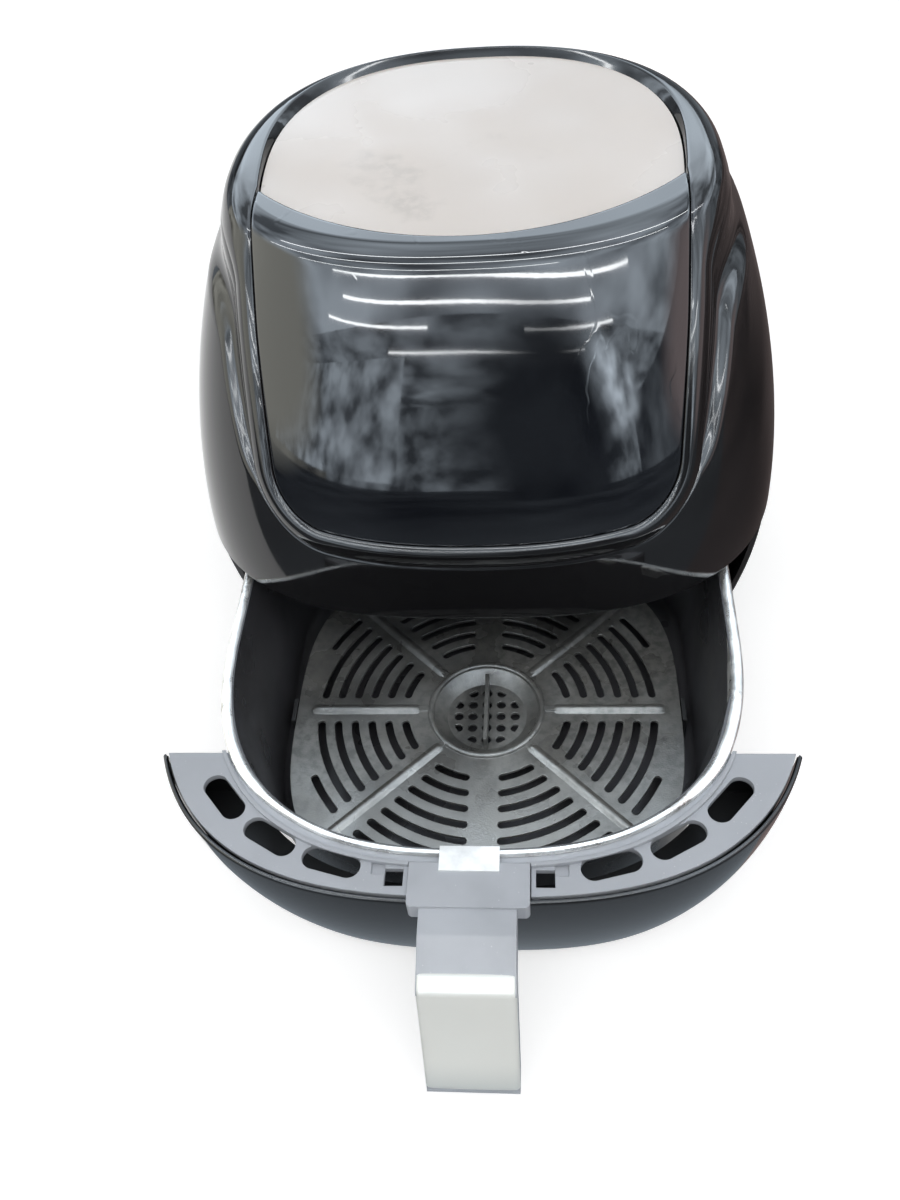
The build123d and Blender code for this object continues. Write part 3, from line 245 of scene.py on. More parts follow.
def new_piece(name, points, faces, centre_y, thickness=0.0, sharp=38.0, turn_out=True):
    """A mesh object from points in millimetres and faces, welded, faced outwards and smooth.

    Faces look outwards where the sum of area times normal times the way from the middle is positive.
    With a thickness the sheet becomes a closed wall that grows inwards. Without turn_out, the faces
    keep the way they are given.
    """
    used, corners = np.unique(faces, return_inverse=True)
    places = points.reshape(-1, 3)[used] * MM + np.array([0.0, centre_y, 0.0])
    mesh = bpy.data.meshes.new(name)
    mesh.from_pydata(places.tolist(), [], corners.reshape(-1, 4).tolist())
    piece = bpy.data.objects.new(name, mesh)
    bpy.context.scene.collection.objects.link(piece)
    work = bmesh.new()
    work.from_mesh(mesh)
    bmesh.ops.remove_doubles(work, verts=work.verts, dist=WELD)
    if turn_out:
        bmesh.ops.recalc_face_normals(work, faces=work.faces)
    work.to_mesh(mesh)
    work.free()
    middle = read_all(mesh.vertices, "co", 3).mean(axis=0)
    away = read_all(mesh.polygons, "center", 3) - middle
    facing = (read_all(mesh.polygons, "normal", 3) * away).sum(axis=1) @ read_all(mesh.polygons, "area", 1)[:, 0]
    if turn_out and facing < 0:
        mesh.flip_normals()
    if thickness:
        wall = piece.modifiers.new("wall", "SOLIDIFY")
        wall.thickness = thickness * MM
        wall.offset = -1.0
        graph = bpy.context.evaluated_depsgraph_get()
        piece.data = bpy.data.meshes.new_from_object(piece.evaluated_get(graph))
        piece.modifiers.clear()
        piece.data.name = name
    piece.data.polygons.foreach_set("use_smooth", np.ones(len(piece.data.polygons), dtype=bool))
    piece.data.set_sharp_from_angle(angle=np.radians(sharp))
    return piece


def dress(piece, material, body, slot, *nodes):
    """Gives a piece its finish, its body and the CAD nodes that it stands for."""
    piece.data.materials.clear()
    piece.data.materials.append(material)
    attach(piece, body)
    if nodes:
        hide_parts(*nodes)


# ---- the housing's form ----
def oval(direction, half, front, back, power):
    """Radius of a superellipse in a direction: (|cos/half|^n + |sin/reach|^n)^(-1/n), as x and y."""
    c, s = np.cos(direction), np.sin(direction)
    reach = np.where(s > 0, back, front)
    radius = (np.abs(c / half) ** power + np.abs(s / reach) ** power) ** (-1 / power)
    return radius * c, radius * s


def housing(direction, level, inset=0.0):
    """Skin of the housing: an oval that narrows with powers of the level, 0 at its foot and 1 at its crest."""
    up = np.clip(level, 0.0, 1.0)
    half = LOWER_HALF - (LOWER_HALF - UPPER_HALF) * up ** 2 - inset
    front = LOWER_FRONT - (LOWER_FRONT - UPPER_FRONT) * up ** 1.6 - inset
    back = LOWER_BACK - (LOWER_BACK - UPPER_BACK) * up ** 2.2 - inset
    power = LOWER_POWER + (UPPER_POWER - LOWER_POWER) * up
    x, y = oval(direction, half, front, back, power)
    z = SHELL_Z + HEIGHT * level + CREST_TILT * up ** 3 * y
    return np.stack(np.broadcast_arrays(x, y, z), axis=-1)


def crown(direction, rise, corner=None):
    """The skin below the crest, where rise is negative, the tilted top inwards of it, where rise is
    positive, and between them a corner rounded as a quadratic curve through the crest's edge."""
    corner = form().crest_round if corner is None else corner
    direction, rise = np.broadcast_arrays(direction, rise)
    side = housing(direction, 1 + np.minimum(rise, -corner) / HEIGHT)
    top = housing(direction, 1.0, np.maximum(rise, corner))
    edge = housing(direction, 1.0)
    start = housing(direction, 1 - corner / HEIGHT)
    end = housing(direction, 1.0, corner)
    t = np.clip((rise + corner) / (2 * corner), 0, 1)[..., None]
    bend = (1 - t) ** 2 * start + 2 * t * (1 - t) * edge + t ** 2 * end
    far = rise[..., None]
    return np.where(far < -corner, side, np.where(far > corner, top, bend))


def crown_normal(direction, rise, corner=None):
    """Outward normal of the crown, from the cross product of its two slopes."""
    direction, rise = np.broadcast_arrays(direction, rise)
    along = crown(direction + 1e-3, rise, corner) - crown(direction - 1e-3, rise, corner)
    across = crown(direction, rise + 0.3, corner) - crown(direction, rise - 0.3, corner)
    normal = np.cross(along, across)
    return normal / np.linalg.norm(normal, axis=-1, keepdims=True)


def front_direction(x, rise, corner=None):
    """Direction on the right front at which the crown lies x to the side, found by halving."""
    x, rise = np.broadcast_arrays(x, rise)
    low = np.full(x.shape, -np.pi / 2)
    high = np.zeros(x.shape)
    for _ in range(36):
        middle = (low + high) / 2
        short = crown(middle, rise, corner)[..., 0] < x
        low = np.where(short, middle, low)
        high = np.where(short, high, middle)
    return (low + high) / 2


def top_inset(x, y):
    """Distance inwards on the top at which its oval passes x and y, found by halving."""
    low = np.zeros(x.shape)
    high = np.full(x.shape, 60.0)
    for _ in range(36):
        middle = (low + high) / 2
        reach = np.where(y > 0, UPPER_BACK, UPPER_FRONT) - middle
        inside = np.abs(x / (UPPER_HALF - middle)) ** UPPER_POWER + np.abs(y / reach) ** UPPER_POWER < 1
        low = np.where(inside, middle, low)
        high = np.where(inside, high, middle)
    return (low + high) / 2


def lens_outline(grow, counts):
    """Right half of the lens opening, seen from the front: a shallow arc, a round corner and a side.

    Gives x and the height over the lens foot. grow moves the outline outwards.
    """
    radius = (LENS_FOOT_HALF ** 2 + LENS_SAG ** 2) / (2 * LENS_SAG)
    meet = np.arctan(LENS_TURN_X / (radius - LENS_TURN_H))
    a = np.linspace(0, meet, counts[0], endpoint=False)
    arc = np.stack([(radius + grow) * np.sin(a), radius - (radius + grow) * np.cos(a)])
    b = np.linspace(meet - np.pi / 2, 0, counts[1], endpoint=False)
    round_by = LENS_CORNER + grow
    turn = np.stack([LENS_TURN_X + round_by * np.cos(b), LENS_TURN_H + round_by * np.sin(b)])
    h = np.linspace(LENS_TURN_H, HEIGHT - LENS_RISE, counts[2])
    side = np.stack([LENS_TURN_X + round_by + lens_lean(h), h])
    return np.concatenate([arc, turn, side], axis=1)


def lens_lean(height):
    """How far the lens side stands outside its corner's end, rising evenly to the shoulder."""
    risen = (height - LENS_TURN_H) / (LENS_SHOULDER - LENS_TURN_H)
    return (LENS_HALF - LENS_TURN_X - LENS_CORNER) * np.clip(risen, 0, 1)


def band_paths():
    """Inner and outer edge of the moulding round lens and top panel, as directions and rises.

    Both run from the lens foot's centre round its corner, up its side, over the crest and along the
    ring to the back centre. Also gives how much each place belongs to the lens and to the ring.
    """
    width = form().bead_width
    full_rise = HEIGHT - LENS_RISE
    counts = (30, 22, 40)
    turn_rise = -26.0
    inner = lens_outline(0.0, counts)
    outer = lens_outline(width, counts)
    keep = inner[1] - full_rise < turn_rise
    inner, outer = inner[:, keep], outer[:, keep]
    in_rise, out_rise = inner[1] - full_rise, outer[1] - full_rise
    in_dir, out_dir = front_direction(inner[0], in_rise), front_direction(outer[0], out_rise)

    tip_x = 91.9
    tip_y = ARC_RADIUS - ARC_FRONT - np.sqrt(ARC_RADIUS ** 2 - tip_x ** 2)
    tip_rise = top_inset(np.array(LENS_HALF), np.array(tip_y))
    t = np.linspace(0, 1, 34)
    over_rise = turn_rise + (tip_rise - turn_rise) * t
    over_dir = front_direction(LENS_HALF, over_rise)
    start = np.array([front_direction(LENS_HALF + width, turn_rise), turn_rise])
    end = np.array([np.radians(-2.0), -RING_DROP])
    knee = np.array([front_direction(LENS_HALF + width, -RING_DROP), -RING_DROP])
    bend = ((1 - t) ** 2)[:, None] * start + (2 * t * (1 - t))[:, None] * knee + (t ** 2)[:, None] * end

    tip_dir = np.arctan2(tip_y, LENS_HALF)
    u = np.linspace(0, 1, 70)[1:]
    ring_dir = tip_dir + (np.pi / 2 - tip_dir) * u
    flare = 0.4 + form().funnel_flare * smooth_step(ring_dir, tip_dir, tip_dir + np.radians(48))
    x, y = oval(ring_dir, PANEL_HALF + flare, PANEL_FRONT + flare, PANEL_BACK + flare, PANEL_POWER)
    ring_rise = top_inset(x, y)
    ring_out = end[0] + (np.pi / 2 - end[0]) * u

    inner_dir = np.concatenate([in_dir, over_dir, ring_dir])
    inner_rise = np.concatenate([in_rise, over_rise, ring_rise])
    outer_dir = np.concatenate([out_dir, bend[:, 0], ring_out])
    outer_rise = np.concatenate([out_rise, bend[:, 1], np.full(u.shape, -RING_DROP)])
    lens_part = np.concatenate([np.ones(in_dir.shape), 1 - 0.45 * smooth_step(t, 0.3, 1.0),
                                0.55 * (1 - smooth_step(u, 0.0, 0.35))])
    ring_part = np.concatenate([np.zeros(in_dir.shape), smooth_step(t, 0.55, 1.0), np.ones(u.shape)])
    return inner_dir, inner_rise, outer_dir, outer_rise, lens_part, ring_part


def make_band(material):
    """The band round the lens with the ring round the top panel, one moulding.

    Across it, the profile climbs out of the seam or the panel's recess, turns over a small edge, swells
    as half a sine wave beside the lens and ends flush with the shell.
    """
    in_dir, in_rise, out_dir, out_rise, lens_part, ring_part = band_paths()
    edge = crown(in_dir, in_rise)
    normal = crown_normal(in_dir, in_rise)
    under_lens = edge - 3.4 * normal
    wall_dir = np.arctan2(edge[:, 1], edge[:, 0])
    x, y = oval(wall_dir, PANEL_HALF + 0.3, PANEL_FRONT + 0.3, PANEL_BACK + 0.3, PANEL_POWER)
    on_oval = wall_dir > np.radians(-14)
    x, y = np.where(on_oval, x, edge[:, 0]), np.where(on_oval, y, edge[:, 1])
    under_panel = np.stack([x, y, PANEL_Z - 1.0 + CREST_TILT * y], axis=-1)
    foot = under_lens + (under_panel - under_lens) * ring_part[:, None]

    share = spread(20, [0.012, 0.03, 0.06, 0.1])
    share = share[share >= 0.05]
    surface_dir = in_dir + (out_dir - in_dir) * share[:, None]
    surface_rise = in_rise + (out_rise - in_rise) * share[:, None]
    swell = form().bead_height * np.sin(np.pi * share[:, None] ** 0.85) * lens_part
    surface = crown(surface_dir, surface_rise) + swell[..., None] * crown_normal(surface_dir, surface_rise)

    down = foot - edge
    drop = down / np.linalg.norm(down, axis=-1, keepdims=True)
    shoulder = edge + 0.7 * drop
    t = np.linspace(0, 1, 6)[:, None, None]
    fillet = (1 - t) ** 2 * shoulder + 2 * t * (1 - t) * edge + t ** 2 * surface[0]
    wall = foot + (shoulder - foot) * np.array([0.0, 0.5])[:, None, None]
    rows = np.concatenate([wall, fillet[:-1], surface])
    rows = joined_loop(rows)
    faces = grid_faces(rows.shape[0], rows.shape[1], wrap_columns=True)
    piece = new_piece("lens_and_lid_band", rows, faces, FAN_Y, thickness=1.6, sharp=60)
    dress(piece, material, "housing", "gloss_black", "front_bezel", "lid_recess")


def make_shell(material):
    """The shell from the band's outer edge down to its foot, with a hollow flute beside the band.

    The flute is a squared sine of the distance from the band. Its width fades at the lens corners and
    along the ring. The outlet's opening is left out of the grid.
    """
    _, _, start_dir, start_rise, lens_part, _ = band_paths()
    count = start_dir.size
    progress = np.arange(count) / (count - 1)
    side_start = np.argmax(start_rise > -95)
    foot_dir = np.interp(progress, [0, side_start / count, 0.62, 0.68, 1.0],
                         [-np.pi / 2, np.radians(-56), np.radians(-2), np.radians(8), np.pi / 2])
    settle = smooth_step(start_dir, np.radians(20), np.radians(60))
    foot_dir = foot_dir + (start_dir - foot_dir) * settle
    outlet_dir = np.arctan2(134.5, OUTLET_HALF)
    edge = np.argmin(np.abs(start_dir - outlet_dir))
    start_dir, foot_dir = start_dir.copy(), foot_dir.copy()
    start_dir[edge] = foot_dir[edge] = outlet_dir

    ring_run = HEIGHT - RING_DROP
    cuts = [(CREST_Z - RING_DROP - z) / ring_run for z in (OUTLET_HIGH_Z, OUTLET_LOW_Z)]
    share = spread(84, [0.004, 0.01, 0.018, 0.03])
    share = np.unique(np.concatenate([share, cuts, 1 - np.array([0.0, 0.1, 0.3, 0.6, 0.9, 1.3]) / ring_run]))
    dirs = start_dir + (foot_dir - start_dir) * share[:, None]
    rises = start_rise + (-HEIGHT - start_rise) * share[:, None]
    skin = crown(dirs, rises)
    normal = crown_normal(dirs, rises)
    steps = np.linalg.norm(np.diff(skin, axis=0), axis=-1)
    run = np.concatenate([np.zeros((1, count)), np.cumsum(steps, axis=0)])
    side = smooth_step(start_rise, -112.0, -62.0) * (1 - 0.72 * smooth_step(start_dir, np.radians(-6), np.radians(50)))
    width = 3.0 + form().flute_width * side
    depth = 0.25 + form().flute_depth * side
    hollow = depth * np.sin(np.pi * np.clip(run / width, 0, 1)) ** 2
    lip = np.clip(1.3 - (run[-1] - run), 0, 1.3) / 1.3
    hollow = hollow + 1.3 * fall(lip)
    rows = joined_loop(skin - hollow[..., None] * normal)
    faces = grid_faces(rows.shape[0], rows.shape[1], wrap_columns=True)
    first, last = np.searchsorted(share, np.array(cuts) - 1e-9)
    faces[first:last, edge:rows.shape[1] - edge] = -1
    faces = faces[faces[..., 0] >= 0]
    piece = new_piece("outer_shell_skin", rows, faces, FAN_Y, thickness=2.4, sharp=50)
    dress(piece, material, "housing", "gloss_black", "outer_shell")


def make_lens(material):
    """The lens: rows at one height each, from its foot up over the crest and back to the arc.

    Its edge falls away as a quarter circle of the distance to its outline.
    """
    corner = form().lens_round
    gap = 0.35
    outline = lens_outline(-gap, (30, 40, 60))
    full_rise = HEIGHT - LENS_RISE
    low = gap + 0.001
    heights = np.concatenate([
        low + (4.0 - low) * np.linspace(0, 1, 12) ** 2,
        np.linspace(4.0, LENS_TURN_H, 24)[1:],
        np.linspace(LENS_TURN_H, full_rise - corner, 46)[1:],
        full_rise + np.linspace(-corner, corner, 16)[1:],
    ])
    half = np.interp(heights, outline[1], outline[0], right=LENS_HALF - gap)
    share = spread(64, [0.001, 0.002, 0.004, 0.007])
    x = half[:, None] * share
    rise = np.repeat(heights[:, None] - full_rise, share.size, axis=1)
    direction = front_direction(x, rise, corner)
    front = crown(direction, rise, corner)
    lean = crown_normal(direction, rise, corner)
    last = front[-1]
    arc_x = share * (LENS_HALF - gap - 0.3)
    arc_y = ARC_RADIUS - ARC_FRONT - np.sqrt((ARC_RADIUS + gap) ** 2 - arc_x ** 2)
    arc = np.stack([arc_x, arc_y, CREST_Z + CREST_TILT * arc_y], axis=-1)
    steps = spread(10, [0.01, 0.03, 0.06])[1:]
    top = last + (arc - last) * steps[:, None, None]
    flat = np.array([0.0, -CREST_TILT, 1.0]) / np.hypot(1.0, CREST_TILT)
    rows = np.concatenate([front, top])
    lean = np.concatenate([lean, np.broadcast_to(flat, top.shape)])
    rim = np.concatenate([rows[:, -1], rows[-1], front[:20, -1]])
    foot_x = outline[0][outline[1] < 12]
    foot_h = outline[1][outline[1] < 12]
    foot_rise = foot_h - full_rise
    rim = np.concatenate([rim, crown(front_direction(foot_x, foot_rise, corner), foot_rise, corner)])
    flat_rows = rows.reshape(-1, 3)
    squares = (flat_rows ** 2).sum(1)[:, None] + (rim ** 2).sum(1) - 2 * flat_rows @ rim.T
    away = np.sqrt(np.maximum(squares.min(axis=1), 0)).reshape(rows.shape[:2])
    lip = np.clip(1 - away / 0.9, 0, 1)
    sink = 0.25 + 0.9 * fall(lip)
    rows = mirrored(rows - sink[..., None] * lean)
    faces = grid_faces(rows.shape[0], rows.shape[1])
    piece = new_piece("lens_cover", rows, faces, FAN_Y, thickness=2.0, sharp=50)
    dress(piece, material, "housing", "lens_black", "front_lens")


# ---- drawer ----
def make_drawer_skin(material):
    """The drawer front's gloss skin: an oval that turns in towards the floor, cut where it meets the
    base's sides and notched for the handle. Its upper edge is rounded."""
    heights = np.unique(np.concatenate([
        np.linspace(SKIN_LOW_Z, SKIN_HIGH_Z, 60), [NOTCH_LOW_Z],
        SKIN_HIGH_Z - np.array([0.1, 0.3, 0.6, 1.0, 1.5]), SKIN_LOW_Z + np.array([0.1, 0.3, 0.7, 1.2])]))
    turn = np.clip(1 - (heights - FLOOR_Z) / (BASE_TOP_Z - FLOOR_Z), 0, 1) ** 1.8
    half = BODY_HALF - (BODY_HALF - FLOOR_HALF) * turn
    front = DRAWER_FRONT - (DRAWER_FRONT - FLOOR_FRONT) * turn
    end_x = half * (1 - (DRAWER_END / front) ** LOWER_POWER) ** (1 / LOWER_POWER)
    end_dir = np.arctan2(-DRAWER_END, end_x)
    notch = (np.arctan2(-DRAWER_FRONT, NOTCH_HALF) + np.pi / 2) / (end_dir[-1] + np.pi / 2)
    share = np.unique(np.concatenate([np.linspace(0, 1, 90), [notch], [0.996, 0.999]]))
    direction = -np.pi / 2 + (end_dir[:, None] + np.pi / 2) * share
    x, y = oval(direction, half[:, None], front[:, None], front[:, None], LOWER_POWER)
    z = np.repeat(heights[:, None], share.size, axis=1)
    rows = np.stack([x, y, z], axis=-1)
    radius = np.hypot(x, y)[..., None]
    inward = np.stack([-x, -y, 0 * z], axis=-1) / radius
    lip = np.clip(1 - (SKIN_HIGH_Z - heights) / 1.6, 0, 1)
    foot = np.clip(1 - (heights - SKIN_LOW_Z) / 1.2, 0, 1)
    tuck = 1.6 * fall(lip) + 1.2 * fall(foot)
    rows = mirrored(rows + tuck[:, None, None] * inward)
    faces = grid_faces(rows.shape[0], rows.shape[1])
    low = np.searchsorted(heights, NOTCH_LOW_Z)
    step = np.searchsorted(share, notch)
    middle = share.size - 1
    faces[low:, middle - step:middle + step] = -1
    faces = faces[faces[..., 0] >= 0]
    piece = new_piece("drawer_front_skin", rows, faces, DRAWER_Y, thickness=2.2, sharp=50)
    dress(piece, material, "drawer", "gloss_black", "fascia_skin")


def basket_loop(grow):
    """Outline of the basket from above: a superellipse in front, straight sides and rear, round corners."""
    half, reach, corner = BASKET_HALF + grow, BASKET_REACH + grow, BASKET_CORNER + grow
    direction = np.linspace(-np.pi / 2, 0, 60)
    x, y = oval(direction, half, reach, reach, BASKET_POWER)
    front = np.stack([x, y], axis=-1)
    side = np.stack([np.full(8, half), np.linspace(0, reach - corner, 9)[1:]], axis=-1)
    a = np.linspace(0, np.pi / 2, 26)[1:]
    turn = np.stack([half - corner + corner * np.cos(a), reach - corner + corner * np.sin(a)], axis=-1)
    rear = np.stack([np.linspace(half - corner, 0, 8)[1:], np.full(7, reach)], axis=-1)
    return np.concatenate([front, side, turn, rear])


def make_rim(material):
    """The basket's rolled rim: half an ellipse carried round the basket's outline, with a short flank inside.

    The ellipse narrows towards the front, with a smooth step of the place along the outline.
    """
    a = np.linspace(np.pi, 0, 15)
    share = np.concatenate([[-0.04, 0.0], 0.5 + 0.5 * np.cos(a), [0.8, 0.3]])
    height = np.concatenate([[RIM_Z - 9, RIM_Z - 3.4], RIM_Z - 2.6 + 2.5 * np.sin(a), [RIM_Z - 2.7, RIM_Z - 2.7]])
    inner, outer = basket_loop(-0.25), basket_loop(5.7)
    width = 1 - 0.5 * (1 - smooth_step(inner[:, 1], -104.0, -70.0))
    plan = inner + (outer - inner) * (share[:, None] * width)[..., None]
    rows = joined_loop(np.concatenate([plan, np.broadcast_to(height[:, None, None], (*plan.shape[:2], 1))], axis=-1))
    faces = grid_faces(rows.shape[0], rows.shape[1], wrap_columns=True)
    piece = new_piece("rolled_rim", rows, faces, DRAWER_Y, sharp=50)
    dress(piece, material, "drawer", "rolled_rim", "basket_rim")


def make_handle_cover(material):
    """The handle's cover: a side view that bends once and then runs straight down, carried across the grip
    with a slight crown and rolled edges."""
    back_way = np.array(ARM_RUN) / np.hypot(*ARM_RUN)
    down_way = np.array(GRIP_RUN) / np.hypot(*GRIP_RUN)
    turn = np.arccos(-back_way @ down_way)
    inwards = back_way + down_way
    inwards = inwards / np.linalg.norm(inwards)
    centre = BEND_AT + inwards * BEND_ROUND / np.cos(turn / 2)
    first = np.arctan2(back_way[0], -back_way[1])
    a = first + np.linspace(0, turn, 16)[:, None]
    arc = centre + (BEND_ROUND + COVER_PROUD) * np.concatenate([np.cos(a), np.sin(a)], axis=1)
    lead = arc[0] + back_way * np.linspace(5.0, 0.4, 6)[:, None]
    t = np.linspace(0, 1, 40)[1:, None]
    out_way = np.array([down_way[1], -down_way[0]])
    straight = arc[-1] + down_way * COVER_LENGTH * t - out_way * COVER_PROUD * 0.42 * smooth_step(t, 0.0, 0.5)
    path = np.concatenate([lead, arc, straight])
    along = np.gradient(path, axis=0)
    along = along / np.linalg.norm(along, axis=1, keepdims=True)
    out = np.stack([along[:, 1], -along[:, 0]], axis=1)
    share = spread(26, [0.004, 0.01, 0.02, 0.035])
    across = 2 * share - 1
    edge = GRIP_HALF * (1 - np.abs(across))
    crown_height = 0.3 * (1 - across ** 2)
    roll = 2.2 * fall(np.clip(1 - edge / 2.2, 0, 1))
    run = np.concatenate([[0], np.cumsum(np.linalg.norm(np.diff(path, axis=0), axis=1))])
    ends = np.clip(1 - np.minimum(run, run[-1] - run) / 1.0, 0, 1)
    tuck = 0.9 * fall(ends)
    lift = crown_height - roll - tuck[:, None]
    x = np.repeat((GRIP_HALF + 0.15) * across[None], path.shape[0], axis=0)
    y = path[:, :1] + out[:, :1] * lift
    z = path[:, 1:] + out[:, 1:] * lift
    rows = np.stack([x, y, z], axis=-1)
    faces = grid_faces(rows.shape[0], rows.shape[1])
    piece = new_piece("grip_cover", rows, faces, DRAWER_Y, thickness=1.5, sharp=50)
    dress(piece, material, "drawer", "silver_trim", "handle_cover")


def make_tray_ridges(material):
    """Soft pressed ridges on the tray: a cosine bump across, with ends that fade as a quarter circle."""
    long_ridge, short_ridge = (31, 106, 1.7, 3.2), (34, 91, 1.9, 3.4)   # start, end, height, half width
    grids = []
    for degrees_at, (start, end, height, half) in (
            (0, short_ridge), (180, short_ridge), (45, long_ridge), (135, long_ridge),
            (225, long_ridge), (315, long_ridge)):
        along = spread(30, [0.01, 0.02, 0.04])
        across = np.linspace(-1, 1, 17)
        run = start + (end - start) * along
        fade = np.sqrt(np.clip(1 - np.clip(1 - np.minimum(run - start, end - run) / 4.0, 0, 1) ** 2, 0, 1))
        bump = TRAY_Z - 0.08 + height * fade[:, None] * (0.5 + 0.5 * np.cos(np.pi * across)) ** 0.8
        side = half * across * (0.6 + 0.4 * fade[:, None])
        angle = np.radians(degrees_at)
        x = run[:, None] * np.cos(angle) - side * np.sin(angle)
        y = run[:, None] * np.sin(angle) + side * np.cos(angle)
        grids.append(np.stack([x, y, bump], axis=-1))
    rows = np.array(grids)
    size = rows.shape[1] * rows.shape[2]
    one = grid_faces(rows.shape[1], rows.shape[2]).reshape(-1, 4)[:, ::-1]
    faces = one + size * np.arange(rows.shape[0])[:, None, None]
    piece = new_piece("tray_ridges", rows, faces, DRAWER_Y, sharp=60, turn_out=False)
    dress(piece, material, "tray", "nonstick_tray")


# ---- finishes ----
class Finish:
    """A node material built up step by step round one shader."""

    def __init__(self, name, colour, roughness, metallic=0.0, coat=0.0):
        self.name = name
        self.material, self.tree = node_material(name)
        self.shader = self.tree.nodes["Principled BSDF"]
        self.place = self.node("ShaderNodeTexCoord").outputs["Object"]
        self.colour = (*colour, 1.0)
        self.roughness = roughness
        self.height = None
        for key, value in (("Base Color", self.colour), ("Roughness", roughness), ("Metallic", metallic),
                           ("Coat Weight", coat), ("Coat Roughness", 0.06)):
            self.shader.inputs[key].default_value = value

    def node(self, kind, inputs=None, **settings):
        return add_node(self.tree, kind, inputs, **settings)

    def link(self, source, target):
        self.tree.links.new(source, target)

    def noise(self, scale, detail=3.0, stretch=None, distortion=0.0):
        """Noise over the piece in metres, stretched by a Mapping node where asked."""
        source = self.place
        if stretch:
            source = self.node("ShaderNodeMapping", {"Vector": source, "Scale": stretch}).outputs["Vector"]
        return self.node("ShaderNodeTexNoise", {"Vector": source, "Scale": scale, "Detail": detail,
                                                "Distortion": distortion}).outputs["Fac"]

    def ranged(self, value, low, high, new_low, new_high):
        """A value between two limits, led over smoothly to two new ones."""
        return self.node("ShaderNodeMapRange", {"Value": value, "From Min": low, "From Max": high, "To Min": new_low,
                                                "To Max": new_high}, interpolation_type="SMOOTHSTEP").outputs["Result"]

    def mixed(self, factor, first, second):
        """Colour between two colours, each given as a tuple or as another node's output."""
        ends = [(*value[:3], 1.0) if isinstance(value, tuple) else value for value in (first, second)]
        return self.node("ShaderNodeMix", {0: factor, 6: ends[0], 7: ends[1]}, data_type="RGBA").outputs[2]

    def math(self, operation, first, second):
        return self.node("ShaderNodeMath", {0: first, 1: second}, operation=operation).outputs[0]

    def place_along(self, axis):
        """The place along one axis, in metres."""
        return self.node("ShaderNodeSeparateXYZ", {"Vector": self.place}).outputs[axis]

    def bump(self, height, strength, distance):
        """Bumps of a height, added to any that are there."""
        inputs = {"Height": height, "Strength": strength, "Distance": distance}
        if self.height:
            inputs["Normal"] = self.height
        self.height = self.node("ShaderNodeBump", inputs).outputs["Normal"]
        self.link(self.height, self.shader.inputs["Normal"])

    def paint(self, colour):
        self.link(colour, self.shader.inputs["Base Color"])
        self.painted = colour

    def mottle(self, scale, amount, detail=4.0, stretch=None):
        """Cloudy change of the colour by a share of itself."""
        cloud = self.ranged(self.noise(scale, detail, stretch), 0.3, 0.7, 0.0, 1.0)
        dark = tuple(c * (1 - amount) for c in self.colour[:3])
        light = tuple(min(c * (1 + amount), 1.0) for c in self.colour[:3])
        self.paint(self.mixed(cloud, dark, light))
        return self

    def smudge(self, scale, spread_by, detail=3.0, stretch=None):
        """Cloudy change of the roughness."""
        cloud = self.noise(scale, detail, stretch)
        low, high = self.roughness * (1 - spread_by), self.roughness * (1 + spread_by)
        self.rough = self.ranged(cloud, 0.3, 0.7, low, high)
        self.link(self.rough, self.shader.inputs["Roughness"])
        return self

    def grain(self, scale, strength, detail=2.0, stretch=None):
        """Fine bumps."""
        self.bump(self.noise(scale, detail, stretch), strength, 0.0002)
        return self

    def flecks(self, scale, size, colour, share=0.5):
        """Small spots where a cell pattern's distance is under a size and a cloud allows it."""
        cells = self.node("ShaderNodeTexVoronoi", {"Vector": self.place, "Scale": scale})
        spot = self.ranged(cells.outputs["Distance"], size * 0.7, size, 1.0, 0.0)
        cloud = self.ranged(self.noise(scale * 0.13), 0.5, 0.56, 0.0, share)
        factor = self.math("MULTIPLY", spot, cloud)
        self.paint(self.mixed(factor, self.painted, colour))
        return self

    def wear(self, scale, colour, low, high, share):
        """Larger patches where the coating is thin, each broken up by a finer noise."""
        patch = self.ranged(self.noise(scale, 6.0, distortion=0.4), low, high, 0.0, share)
        fine = self.ranged(self.noise(scale * 14, 4.0), 0.3, 0.62, 0.25, 1.0)
        factor = self.math("MULTIPLY", patch, fine)
        self.paint(self.mixed(factor, self.painted, colour))
        return self

    def painted_light_towards_front(self, colour, start, end, share):
        """Painted light: more of a lighter colour towards the front, broken up by a noise, between two places along Y
        in metres; it stands in for the housing keeping light off the back.
        """
        ramp = self.ranged(self.place_along("Y"), start, end, 0.0, share)
        patch = self.ranged(self.noise(26, 5.0), 0.25, 0.62, 0.45, 1.0)
        self.paint(self.mixed(self.math("MULTIPLY", ramp, patch), self.painted, colour))
        return self

    def painted_shade_below(self, colour, low, high):
        """Painted shade: another colour below a height in metres, blended in up to a second height."""
        ramp = self.ranged(self.place_along("Z"), low, high, 1.0, 0.0)
        self.paint(self.mixed(ramp, self.painted, colour))
        return self

    def scratches(self, scale, strength):
        """Hairlines: a noise drawn out into threads, kept only where it peaks, as bumps."""
        thread = self.ranged(self.noise(scale, 2.0, (1.0, 1.0, 0.06), 1.2), 0.66, 0.70, 0.0, 1.0)
        self.bump(thread, strength, 0.0001)
        return self

    def soft_edges(self, radius):
        """Light catches on the edges as if they were rounded."""
        edge = self.node("ShaderNodeBevel", {"Radius": radius * MM}, samples=4)
        self.link(edge.outputs["Normal"], self.first_bump().inputs["Normal"])
        return self

    def first_bump(self):
        for made in self.tree.nodes:
            if made.type == "BUMP" and not made.inputs["Normal"].is_linked:
                return made
        raise RuntimeError("a finish needs its grain before its soft edges")


